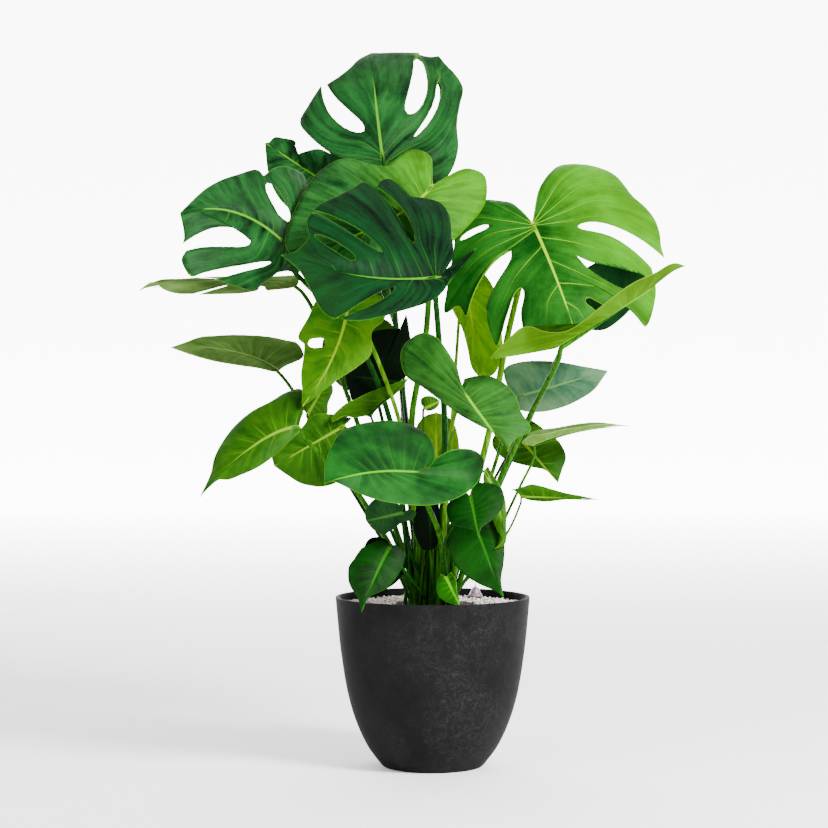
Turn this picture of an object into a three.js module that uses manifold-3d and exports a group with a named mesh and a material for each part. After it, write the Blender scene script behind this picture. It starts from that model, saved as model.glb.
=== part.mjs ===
// A potted swiss cheese plant: a round tapered planter, soil with a ring of white gravel, a water gauge, and
// a clump of leaves whose long stalks stand in holes in the soil. Each leaf is one grown piece, stalk and
// blade. Millimetres, +Z up, origin in the middle of the planter's underside, the plant's front towards -Y.

import * as THREE from "three";
import { mergeVertices } from "three/addons/utils/BufferGeometryUtils.js";
import Module from "manifold-3d";

const wasm = await Module();
wasm.setup();

// Planter
const RIM_RADIUS = 165;
const PLANTER_HEIGHT = 286;
const WALL = 6;
const FLOOR = 8;
const GAP = 0.3;
const FLOOR_CURVE = 14;
const PLANTER_SIDES = 36;
const PLANTER_PROFILE = [
  [84, 0], [88, 3], [109, 31], [128, 70], [143, 118], [156, 195], [RIM_RADIUS, PLANTER_HEIGHT],
];

// Soil and gravel
const SOIL_LEVEL = 260;
const MOUND_LEVEL = 271;
const MOUND_RADIUS = 74;
const MOUND_CENTRE = [4, -4];
const GRAVEL_LEVEL = 273;
const GRAVEL_RELIEF = 1.6;
const GRAVEL_SIDES = 36;
const GRAVEL_ROWS = 2;
const MOUND_SIDES = 20;
const MOUND_EDGE = 8;
const MOUND_FOOT = 5;
const HOLE_DEPTH = 22;
const HOLE_GAP = 0.4;

// Water gauge
const GAUGE_PLACE = [76, 112];
const CAP_RADIUS = 13;
const CAP_HEIGHT = 17;
const CAP_STEM_RADIUS = 5;
const CAP_SEAT = GRAVEL_LEVEL + 2.2;
const GAUGE_FOOT = 236;
const PIN_RADIUS = 1.4;
const PIN_TOP = 296;
const GAUGE_SIDES = 14;
const PIN_SIDES = 8;

// Leaves
const BLADE_THICKNESS = 1.2;
const STALK_SIDES = 5;
const STALK_LEVELS = [0, 26, 64, 120, 200, 310, 450, 630].map((rise) => MOUND_LEVEL + rise);
const STALK_CLEARANCE = 2.4;
const NECK = 26;
const CLUMP_SPREAD = 0.13;
const CLUMP_RADIUS = [46, 38];
const EASING_PASSES = 400;
const SETTLING_PASSES = 60;
const RIB_STOPS = [0.02, 0.4, 0.86];
const SMALL_RIB_STOPS = [0.02, 0.25];
const FACE_TOLERANCE = 0.45;
const USUAL_NECK = 3.5;

// The leaves were drawn on the front view, as pixels of the reference picture and a depth in millimetres
// behind the planter's axis. These give the eye's place, and its focal length in pixels.
const EYE_DISTANCE = 3364;
const EYE_HEIGHT = 595;
const EYE_SIDE = -31.6;
const FOCAL_PIXELS = 1981.7;
const PICTURE_CENTRE = 414;

// base and tip are ends of the midrib and via a point of it. left and right are its margins from base to
// tip, one list for each lobe, with the cuts between them. lean and droop set how far each half falls back,
// arch how far the blade bows to the front. stalk holds points of the stalk, from the soil up, and neck the
// point where the stalk turns into the blade, if it isn't straight behind the base.
const cut = (inner, outer, middle, half, mouth) => ({ inner, outer, middle, half, mouth });
const hole = (inner, outer, middle, half) => ({ inner, outer, middle, half, mouth: 0, closed: true });

const LEAVES = [
  { name: "leaf_crown", base: [384, 168, 76], tip: [371, 53, 230], via: [377, 112], lean: [0, 0],
      droop: [20, 20], arch: 42,
    stalk: [[401, 380], [396, 325], [389, 250]], thick: [7, 4.5],
    left: [[[378, 176], [365, 172], [350, 166], [328, 151], [311, 137], [300, 122], [308, 106]],
      cut([364, 131], [324, 85], [338, 111], 17, 5), [[340, 76], [350, 68], [358, 60]]],
    right: [[[390, 178], [410, 186], [436, 185], [450, 173], [458, 150], [457, 125], [460, 105], [463, 88],
      [455, 74], [447, 66]],
      hole([414, 137], [435, 68], [437, 101], 5), [[430, 57]], cut([408, 114], [416, 53], [419, 85],
      16, 5), [[395, 52.5], [380, 53]]] },
  { name: "leaf_light_split", base: [433, 185, 0], tip: [292, 258, -90], via: [385, 222],
      lean: [-0.15, 0.6], droop: [0, 15], arch: 15,
    stalk: [[410, 421], [418, 386], [428, 300]], thick: [7, 4.5],
    left: [[[441, 182], [452, 174], [463, 169], [472, 169], [484, 175], [487, 190], [484, 205], [466, 228],
      [430, 258], [380, 275], [330, 275]]],
    right: [[[432, 172], [431, 158], [422, 151], [410, 150], [399, 157], [387, 166], [372, 165],
      [353, 159.5], [338, 160], [317, 174],
      [304, 192], [289, 224], [285, 243]]] },
  { name: "leaf_dark_split", base: [440, 277, -150], tip: [281, 255, -230], via: [362, 277],
      lean: [-0.9, 0.7], droop: [0, 20], arch: 20,
    stalk: [[445, 449, -45], [443, 403, -70]], thick: [7, 4.5],
    right: [[[445, 270], [452, 259], [453, 246], [450, 230], [448, 213], [440, 203], [424, 198],
      [410, 196], [398, 184], [390, 179], [381, 181]],
      cut([413, 243], [375, 188], [399, 211], 9, 4), [[365, 182], [353, 188], [338, 196], [321, 204]],
      cut([382, 252], [313, 211], [348, 227], 9, 3), [[307, 220]],
      hole([355, 260], [315, 235], [338, 248], 10), [[309, 236], [300, 248], [292, 253]]],
    left: [[[456, 264], [476, 248], [466, 262], [457, 271], [441, 294], [426, 303], [401, 311], [381, 317],
      [359, 321], [345, 320]],
      cut([395, 287], [341, 317], [368, 303], 7, 1.5), [[335, 319], [324, 313], [316, 301], [307, 283],
      [298, 269]]] },
  { name: "leaf_far_left", base: [290, 249, -40], tip: [180, 213, -170], via: [238, 213],
      lean: [-0.4, 0.7], droop: [0, 15], arch: 25,
    stalk: [[391, 421], [385, 402], [345, 320]], thick: [6.5, 4],
    right: [[[298, 238], [307, 215], [309, 195], [303, 175], [291, 168], [277, 167]],
      hole([288, 222], [267, 183], [279, 203], 14), [[258, 170], [236, 175], [219, 181], [204, 190],
      [191, 202], [183, 210]]],
    left: [[[298, 262], [299, 273], [287, 271], [268, 276], [258, 284], [254, 290], [238, 287]],
      cut([271, 262], [214, 274], [244, 268], 5, 9), [[202, 271], [192, 277], [185, 269], [181.5, 259]],
      cut([251, 241], [184, 247.5], [218, 237], 17, 6), [[184, 238], [183, 227], [181, 218]]] },
  { name: "leaf_flat_left", base: [296, 284, 40], tip: [144, 291, -40], via: [215, 281, 10], lean: [0, 0],
      droop: [0, 0], arch: 0, bulge: 0.05,
    stalk: [[316, 316]], neck: [305, 296, 40], thick: [6, 3.5],
    left: [[[299, 276, 10], [296, 286, -20]], cut([262, 286, 0], [262, 290.5, -50], null, 5, 9),
      [[242, 293, -65], [218, 294, -70]], cut([228, 285, -12], [196, 294, -75], null, 5, 8),
      [[178, 293.5, -75], [165, 290, -65], [152, 282, -50]]],
    right: [[[302, 277, 60], [299, 275, 100], [285, 276, 130]], cut([268, 281, 60], [258, 277, 140],
      null, 5, 9),
      [[235, 276.5, 140], [215, 277, 130]], cut([232, 280, 40], [200, 277.5, 120], null, 5, 8),
      [[180, 279, 90], [160, 280, 40]]] },
  { name: "leaf_back_left", base: [342, 194, 120], tip: [265, 143, 150], lean: [-0.4, 0.6], droop: [0, 0],
      arch: 0,
    stalk: [[404, 421], [407, 383], [385, 290]], thick: [6, 3.5],
    right: [[[350, 188], [352, 172], [341, 159], [329, 153], [318, 149]], hole([299, 168], [286, 160.5],
      null, 3), [[296, 142], [282, 138], [275, 137], [268, 143]]],
    left: [[[340, 206], [325, 220], [300, 215], [285, 205], [274, 190], [268, 172], [266, 156]]] },
  { name: "leaf_bright_right", base: [532, 222, 0], tip: [575, 332, -125], via: [555, 275], lean: [0.1, 0],
      droop: [15, 15], arch: 15,
    stalk: [[485, 451], [489, 433], [503, 378], [508, 334], [519, 291]], thick: [6.8, 5],
    left: [[[538, 209], [544, 191], [548, 181], [552, 171], [560, 165.6], [575, 164], [594.5, 166.4],
      [614, 174.5], [633.5, 197], [645, 207], [655, 220],
      [660, 235], [661, 246]], cut([578, 227], [658, 263], [617, 233], 11, 15), [[656, 293], [645, 327]],
      cut([577, 257], [633, 295], [606, 271], 6, 8),
      [[620, 296], [611, 301]], cut([586, 299], [601, 309], null, 7, 9), [[590, 325]]],
    right: [[[525, 217], [520, 210], [511.6, 203], [497, 200.5], [479, 199], [464.4, 197.6], [457, 206],
      [449, 216], [451, 230]],
      hole([489, 226], [460, 240], [475, 231], 6), [[452, 260], [447, 290], [445, 313], [459, 306],
      [466, 317]], cut([511, 251], [477, 310], [489, 280], 14, 14),
      [[486, 310], [487, 321], [490, 331], [497, 347]], cut([521.5, 288], [513, 330], [515, 310], 10, 17),
      [[538, 328], [551, 332], [564, 333]]] },
  { name: "leaf_turned_right", base: [559, 347, -185], tip: [686, 266, -205], via: [618, 311, -190],
      lean: [0, 0], droop: [0, 0], arch: 0, bulge: 0.04,
    stalk: [[498, 483, -40], [518, 438, -60], [529, 418, -75], [541, 396, -100], [553, 374, -140]],
      neck: [558.5, 359, -172], thick: [5.4, 4.6],
    right: [[[554, 348.5, -180], [520, 355, -200], [503, 357.5, -205], [490, 359, -210], [500, 347, -215],
      [512, 335.5, -220], [521, 328, -222],
      [531, 327, -222], [541, 331, -222], [554, 333, -222], [565, 332, -220], [575, 327, -218],
      [603, 305, -215], [633, 283, -210], [655, 273, -205],
      [674, 263, -200]]],
    left: [[[556, 346, -170], [538, 351, -160], [545, 338, -162], [575, 332, -168], [603, 310, -172],
      [633, 288, -180], [655, 278, -188], [674, 268, -196]]] },
  { name: "leaf_dark_right", base: [515, 398, 80], tip: [608, 371, 150], lean: [0.5, -0.7], droop: [10, 0],
      arch: 0,
    stalk: [[492, 473], [498, 454.5]], thick: [4.5, 3],
    left: [[[508, 388], [504, 376], [505, 368], [521, 362], [554, 361.5], [583, 366.4], [600, 369.5]]],
    right: [[[512, 404], [520, 410], [535, 412], [545, 411.5], [560, 408], [575, 402], [594, 390],
      [603, 378]]] },
  { name: "leaf_drooping", base: [461, 389, -165], tip: [508, 452, -215], lean: [0.4, -0.1], droop: [5, 0],
      arch: 4,
    stalk: [[449.5, 436], [455, 413]], thick: [4.5, 3],
    right: [[[459, 379], [457, 367], [451, 357], [443, 345], [436, 337], [422, 333], [409, 340],
      [403, 347], [400.5, 356], [406, 376], [424, 388],
      [447, 405.6], [460, 415], [485, 428.6], [503, 437]]],
    left: [[[464, 379], [476, 376], [489, 376], [505, 384], [516, 398], [521, 412], [531, 430], [521, 436],
      [513, 441]]] },
  { name: "leaf_front_heart", base: [425, 474, -200], tip: [324.5, 484, -290], via: [375, 472],
      lean: [-1, 1], droop: [0, 20], arch: 0,
    stalk: [[442, 577], [441, 541], [434, 506]], bulge: 0,
    thick: [6.5, 4],
    right: [[[434, 462], [434, 447], [422, 431], [401, 422], [371, 422], [342, 431], [331, 448],
      [325, 464]]],
    left: [[[436, 458], [452, 450], [473, 450], [484, 461], [479, 480], [461, 496], [432, 505], [401, 504],
      [371, 498], [348, 488], [331, 481]]] },
  { name: "leaf_low_left", base: [299.5, 426.6, -150], tip: [202, 494, -210], via: [255, 445],
      lean: [-0.4, 0.8], droop: [0, 0], arch: 10,
    stalk: [[389, 544], [356, 491], [327, 455]], thick: [6.5, 3.5],
    right: [[[303, 414], [303, 400], [301, 389], [287, 392], [270, 402], [251, 412], [232, 429],
      [219, 448], [214, 459], [211, 473]]],
    left: [[[300, 432], [293, 438], [274, 456], [257, 468], [241, 475], [228, 480], [218, 480]]] },
  { name: "leaf_lime", base: [350, 292, -100], tip: [302, 407, -140], via: [335, 352], lean: [0.2, 0.2],
      droop: [0, 0], arch: 0,
    stalk: [[399, 422], [391, 396], [365, 330]], thick: [5, 3.2],
    right: [[[330, 290], [318, 298], [308, 318], [298, 338]], hole([326, 343], [308, 344], [317, 343], 8),
      [[303, 360], [301, 375], [302, 390]]],
    left: [[[365, 290], [385, 300], [384, 320], [372, 331], [371, 354], [360, 365]], hole([338, 367],
      [331, 382], [333, 378], 6), [[321, 393]]] },
  { name: "leaf_shade", base: [399, 382, 0], tip: [345, 375, 20], lean: [-0.3, -0.3], droop: [0, 0],
      arch: 0, thick: [4, 2.6],
    left: [[[395, 386], [375, 394], [354, 402], [349, 391]]],
    right: [[[408, 375], [412, 350], [410, 335], [406, 314], [403, 327], [385, 329], [373, 332],
      [360, 345], [350, 362]]] },
  { name: "leaf_sliver", base: [367, 416, -60], tip: [409, 378, -30], lean: [0.3, -0.3], droop: [0, 0],
      arch: 0, thick: [3.5, 2.2],
    right: [[[355, 418], [342, 416], [333, 422], [331, 419], [344, 405], [357, 398.5], [370, 392],
      [390, 385]]],
    left: [[[371, 418], [376, 410], [388, 400], [400, 390]]] },
  { name: "leaf_fold_left", base: [308, 414, -40], tip: [328, 380, -20], lean: [0, 0], droop: [0, 0],
      arch: 0, thick: [3.5, 2.2],
    left: [[[303, 410], [304.6, 404], [316, 393], [324, 382]]],
    right: [[[306, 424], [312, 425], [320, 418], [327, 414], [328, 404], [333, 391], [332, 385]]] },
  { name: "leaf_under_left", base: [345, 425, -60], tip: [274, 466, -80], lean: [0.3, -0.3], droop: [0, 0],
      arch: 0, thick: [4, 2.6],
    left: [[[352, 432], [355, 455], [340, 480], [323, 486.5], [312, 486], [300, 483], [287, 475]]],
    right: [[[352, 418], [330, 414], [314, 415], [299, 431], [287, 443], [272, 454]]] },
  { name: "leaf_edge_left", base: [279, 371, 0], tip: [175, 347, -60], via: [235, 352, -10], lean: [0, 0],
      droop: [0, 0], arch: 0, bulge: 0.05,
    stalk: [[328, 441], [310, 416], [290, 390]], thick: [5, 3],
    left: [[[277, 372, -10], [270, 371, -30], [258, 368, -60], [237, 365, -80], [214, 361, -90],
      [192, 355, -80]]],
    right: [[[290, 364, 20], [303, 357, 50], [297, 343, 90], [287, 340.6, 110], [270, 337, 120],
      [254, 335.6, 120], [232, 335, 110], [214, 336, 90],
      [201, 337, 50], [184, 343, -20]]] },
  { name: "leaf_edge_right", base: [533, 446, 20], tip: [622, 425, 60], via: [575, 432, 40], lean: [0, 0],
      droop: [0, 0], arch: 0, bulge: 0.03,
    stalk: [[509, 512.5], [519, 487.5], [524, 474], [527, 466], [529.6, 453.6]], thick: [3.4, 2.2],
    right: [[[527, 445, 10], [523, 441, 0], [530, 436, -5], [546, 434, -10], [562, 430, 0], [582, 427, 20],
      [600, 424.5, 40]]],
    left: [[[530, 440, 45], [528, 434, 70], [540, 430, 88], [556, 428, 92], [575, 424.5, 90],
      [596, 422.5, 80]]] },
  { name: "leaf_small_right", base: [518, 436, 118], tip: [558, 483, 100], lean: [0.3, 0.1], droop: [5, 5],
      arch: 0,
    stalk: [[495, 477], [503, 458]], thick: [3.6, 2.4],
    left: [[[519, 428], [523, 419], [532, 421], [546, 431], [560, 443], [566, 457], [562, 470]]],
    right: [[[512, 430], [500, 431], [493, 438], [493, 447], [502, 457], [516, 463], [532, 467],
      [547, 471]]] },
  { name: "leaf_narrow_right", base: [520, 497, -30], tip: [593, 499, -60], lean: [1.2, -1.2],
      droop: [0, 0], arch: 0,
    stalk: [[508, 532], [513.6, 518.8], [514.5, 505.4]], thick: [2.8, 1.8],
    left: [[[517, 492], [514, 489], [511, 490], [523, 487], [531, 484.4], [539, 485.7], [552, 489.3],
      [565, 493], [581, 496]]],
    right: [[[525, 499], [532, 500.5], [547, 501.5], [562, 500], [577, 498.5]]] },
  { name: "leaf_low_heart", foot: [28, -44], base: [471, 498, -150], tip: [479, 539, -190],
      lean: [0.1, 0.1], droop: [5, 5], arch: 0, thick: [3, 2],
    stalk: [[447, 585, -75], [446, 560, -110], [447, 530, -135], [456, 508, -140]],
    left: [[[473, 487], [478, 483.4], [489, 483], [498, 486], [503, 491.4], [504, 499], [503, 506],
      [499, 513], [492, 520], [481, 528.5]]],
    right: [[[469, 495], [465, 492], [459, 495], [452, 499.5], [447, 506], [447, 513], [450, 522],
      [459, 526.7], [468, 528.5], [475, 531]]] },
  { name: "leaf_low_right", base: [468, 508, -95], tip: [504, 598.5, -145], via: [485, 550],
      lean: [0.1, 0.1], droop: [10, 10], arch: 0, thick: [3.4, 2.2],
    left: [[[478, 505], [492, 512], [501, 525], [504, 540], [504.6, 551], [503.5, 565], [501, 580]]],
    right: [[[461, 508], [453, 519], [447, 532], [446.5, 542], [450, 553], [455, 565], [466, 576],
      [479, 584], [497, 592]]] },
  { name: "leaf_fold_right", base: [484, 470, -85], tip: [495, 549, -125], via: [500, 512],
      lean: [0.1, -0.5], droop: [0, 0], arch: 0, thick: [3, 2],
    left: [[[488, 466], [494, 477], [500, 485], [505, 499], [506.3, 514.6], [506, 527], [505, 544]]],
    right: [[[483, 478], [486, 495], [491, 515], [498, 532], [504, 540]]] },
  { name: "leaf_low_front", base: [390, 547.5, -160], tip: [361.5, 613, -205], via: [376, 575],
      lean: [0.1, 0.1], droop: [5, 5], arch: 0, thick: [3.2, 2.2],
    right: [[[387, 545], [384, 541.5], [378, 541], [371, 544], [362, 548], [354, 559], [349, 566],
      [348, 574], [349, 583], [353, 591], [358, 598.5]]],
    left: [[[392.5, 545], [396, 545], [400, 548], [404, 553.4], [404.4, 559.4], [402, 567.5], [397, 576],
      [392, 582.7], [384, 590], [375, 594], [367.5, 598.4]]] },
  { name: "leaf_low_shade", foot: [-36, -30], base: [391, 548, -95], tip: [352, 588, -125],
      lean: [0.1, 0.1], droop: [0, 0], arch: 0, thick: [3, 2],
    right: [[[387, 540], [378, 538], [366, 540], [357, 552], [346, 567], [346, 575]]],
    left: [[[400, 548], [406, 560], [403, 574], [388, 588], [370, 592]]] },
  { name: "leaf_sprout", foot: [10, -56], base: [446, 577, -110], tip: [460, 606, -150], lean: [0, 0],
      droop: [0, 0], arch: 0, thick: [2.6, 1.8],
    right: [[[441, 574], [437, 583], [438, 595], [446, 602]]],
    left: [[[451, 572], [456, 580], [457, 593]]] },
  { name: "leaf_curl_low", base: [402, 513, -90], tip: [366, 521, -95], lean: [0.2, 0.2], droop: [0, 0],
      arch: 0,
    stalk: [[406, 541], [403, 527]], thick: [3, 2],
    right: [[[404, 507], [396, 503], [386, 498], [375, 499], [368, 506], [365, 514]]],
    left: [[[409, 509], [416, 512], [412, 520], [403, 522], [393, 529], [384, 534], [374, 530]]] },
  { name: "leaf_dark_low", base: [429, 501, -74], tip: [431, 550, -66], lean: [0.05, 0.05], droop: [0, 0],
      arch: 0, thick: [3, 2],
    left: [[[436, 500], [440, 515], [439.5, 532], [437, 545]]],
    right: [[[420, 502], [414, 515], [415, 535], [424, 550]]] },
  { name: "leaf_olive_centre", base: [437, 496, 70], tip: [436, 412.5, 50], lean: [0.2, 0.2], droop: [0, 0],
    arch: 0, thick: [3.4, 2.4],
    right: [[[446, 494], [455, 482], [459, 462], [458.5, 440], [454, 424], [446, 415.5]]],
    left: [[[428, 494], [419, 482], [414.5, 462], [414.5, 440], [418, 424], [426, 415.5]]] },
  { name: "leaf_tiny", base: [424, 409, -40], tip: [440, 401, -36], lean: [0.2, 0.2], droop: [0, 0],
      arch: 0,
    stalk: [[422, 425]], thick: [3, 2],
    left: [[[421, 404], [421, 399], [427, 396], [434, 397]]],
    right: [[[427, 411], [433, 410], [438, 406]]] },
  { name: "leaf_young_lime", base: [463, 270, 60], tip: [480, 378, 40], via: [470, 310], lean: [0.2, 0.2],
      droop: [0, 0], arch: 0, thick: [4, 2.6],
    left: [[[472, 264], [486, 276], [495, 292], [500, 320], [502, 350], [494, 374]]],
    right: [[[457, 266], [450, 285], [452, 308], [462, 328], [468, 350], [472, 368]]] },
  { name: "leaf_behind_bright", base: [584, 322, 40], tip: [656, 276, 30], lean: [0.2, 0.2], droop: [0, 0],
    arch: 0, stalk: [[498, 483, 30], [518, 438, 24], [541, 396, 20], [553, 374, 20]], neck: [566, 340, 30],
    thick: [3.2, 2.4],
    right: [[[578, 312], [574, 295], [577, 278], [586, 266], [600, 265], [618, 270], [638, 274.5]]],
    left: [[[590, 330], [604, 330], [622, 318], [640, 298]]] },
  { name: "leaf_rear_high", base: [392, 238, 150], tip: [385, 312, 290], stalk: [[412, 520, 70],
      [404, 430, 104]], lean: [0.3, 0.3], droop: [0, 0], arch: -10, thick: [5, 3.2],
    right: [[[400, 230], [416, 226], [434, 234], [442, 250], [440, 272], [428, 292], [406, 306]]],
    left: [[[384, 230], [368, 226], [350, 234], [340, 250], [342, 272], [352, 292], [368, 306]]] },
  { name: "leaf_rear_middle", base: [365, 326, 120], tip: [352, 392, 225], lean: [0.3, 0.3], droop: [0, 0],
      arch: -8, thick: [4.5, 3],
    right: [[[372, 318], [386, 320], [398, 335], [398, 358], [388, 378], [370, 390]]],
    left: [[[358, 318], [344, 318], [330, 328], [322, 345], [326, 365], [338, 384]]] },
  { name: "leaf_rear_low", base: [420, 440, 125], tip: [402, 496, 210], stalk: [[424, 545, 88],
      [422, 490, 106]], lean: [0.3, 0.3], droop: [0, 0], arch: -6, thick: [4, 2.6],
    right: [[[428, 432], [444, 436], [456, 450], [456, 470], [444, 484], [424, 494]]],
    left: [[[412, 432], [396, 434], [380, 446], [374, 462], [378, 478], [388, 490]]] },
];

const vec = (x, y, z) => new THREE.Vector3(x, y, z);
const mix = (a, b, t) => a.clone().lerp(b, t);
const plus = (a, b, k = 1) => a.clone().addScaledVector(b, k);

function seen(u, v, depth) {
  const scale = (EYE_DISTANCE + depth) / FOCAL_PIXELS;
  return vec(EYE_SIDE + (u - PICTURE_CENTRE) * scale, depth, EYE_HEIGHT - (v - PICTURE_CENTRE) * scale);
}

// A leaf's points in space: those drawn without a depth get one from how its halves lean, droop and bow.
function placeLeaf(leaf) {
  const base = seen(...leaf.base);
  const tip = seen(...leaf.tip);
  const chord = Math.hypot(tip.x - base.x, tip.z - base.z);
  const along = [(tip.x - base.x) / chord, (tip.z - base.z) / chord];
  const depthAt = (x, z, side) => {
    const reach = ((x - base.x) * along[0] + (z - base.z) * along[1]) / chord;
    const away = Math.abs((x - base.x) * along[1] - (z - base.z) * along[0]);
    const half = side < 0 ? 0 : 1;
    const fall = side === 0 ? 0 : leaf.lean[half] * away + leaf.droop[half] * (away / 100) ** 2;
    const inside = Math.max(Math.min(reach, 1), 0);
    const bow = 4 * leaf.arch * (inside * (1 - inside) + Math.min(reach, 0));
    return base.y + (tip.y - base.y) * reach + fall - bow;
  };
  const point = (drawn, side) => {
    if (drawn.length === 3) {
      return seen(...drawn);
    }
    let depth = base.y;
    for (let pass = 0; pass < 16; pass++) {
      const here = seen(drawn[0], drawn[1], depth);
      const wanted = depthAt(here.x, here.z, side);
      depth = pass < 6 ? (depth + wanted) / 2 : wanted;
    }
    return seen(drawn[0], drawn[1], depth);
  };
  const readSide = (parts, side) => {
    const lobes = [];
    const cuts = [];
    for (const part of parts) {
      if (Array.isArray(part)) {
        lobes.push(part.map((drawn) => point(drawn, side)));
        continue;
      }
      const inner = point(part.inner, side);
      const outer = point(part.outer, side);
      const middle = part.middle ? point(part.middle, side) : mix(inner, outer, 0.5);
      cuts.push({ ...part, inner, outer, middle });
    }
    lobes[lobes.length - 1].push(tip.clone());
    return { lobes, cuts };
  };
  const via = leaf.via ? point(leaf.via, 0) : plus(mix(base, tip, 0.5), vec(0, -leaf.arch, 0));
  const bend = plus(via.clone().multiplyScalar(2), mix(base, tip, 0.5), -1);
  const sides = { left: readSide(leaf.left, -1), right: readSide(leaf.right, 1) };
  const centre = (side) => {
    const all = side.lobes.flat();
    return all.reduce((sum, p) => sum.add(p), vec(0, 0, 0)).divideScalar(all.length);
  };
  const span = plus(tip, base, -1).normalize();
  const up = plus(centre(sides.right), centre(sides.left), -1).cross(span).normalize();
  const rib = (s) => mix(mix(base, bend, s), mix(bend, tip, s), s);
  return { ...leaf, base, tip, sides, span, up, rib, length: base.distanceTo(tip) };
}

// Evenly spaced points on a smooth line through the drawn ones.
function alongCurve(points, count) {
  const curve = new THREE.CatmullRomCurve3(points, false, "centripetal");
  curve.arcLengthDivisions = 12 * points.length;
  return curve.getSpacedPoints(count);
}

function cutPoint(split, q) {
  const bend = plus(split.middle.clone().multiplyScalar(2), mix(split.inner, split.outer, 0.5), -1);
  const heading = mix(plus(bend, split.inner, -1), plus(split.outer, bend, -1), q).normalize();
  return { point: mix(mix(split.inner, bend, q), mix(bend, split.outer, q), q), heading };
}

const ROUNDED_END = 0.3;
const HOLE_END = 0.8;

function cutHalfWidth(split, q) {
  const start = Math.sqrt(1 - (1 - Math.min(q / ROUNDED_END, 1)) ** 2);
  if (split.closed) {
    return split.half * start * Math.sqrt(Math.max(0, 1 - Math.max((q - 0.65) / 0.35, 0) ** 2));
  }
  const opening = Math.max(0, (q - 0.5) / 0.5);
  return start * (split.half * (1 - opening) + split.mouth * opening);
}

// The blade's middle surface. Each lobe is a patch between the midrib, its margin and the cuts beside it:
// its columns run out from the midrib, its rows along it. Rows up to half way lie inside the cuts' ends.
const INNER_LEVELS = [0, 0.5];
const CUT_LEVELS = [0.15, 0.45, HOLE_END, 1];
const PLAIN_LEVELS = [0, 0.4, 0.75, 1];
const SMALL_LEVELS = [0, 0.5, 1];
const PLAIN_COLUMNS = 8;
const SMALL_COLUMNS = 7;
const SMALL_LENGTH = 150;

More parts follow.
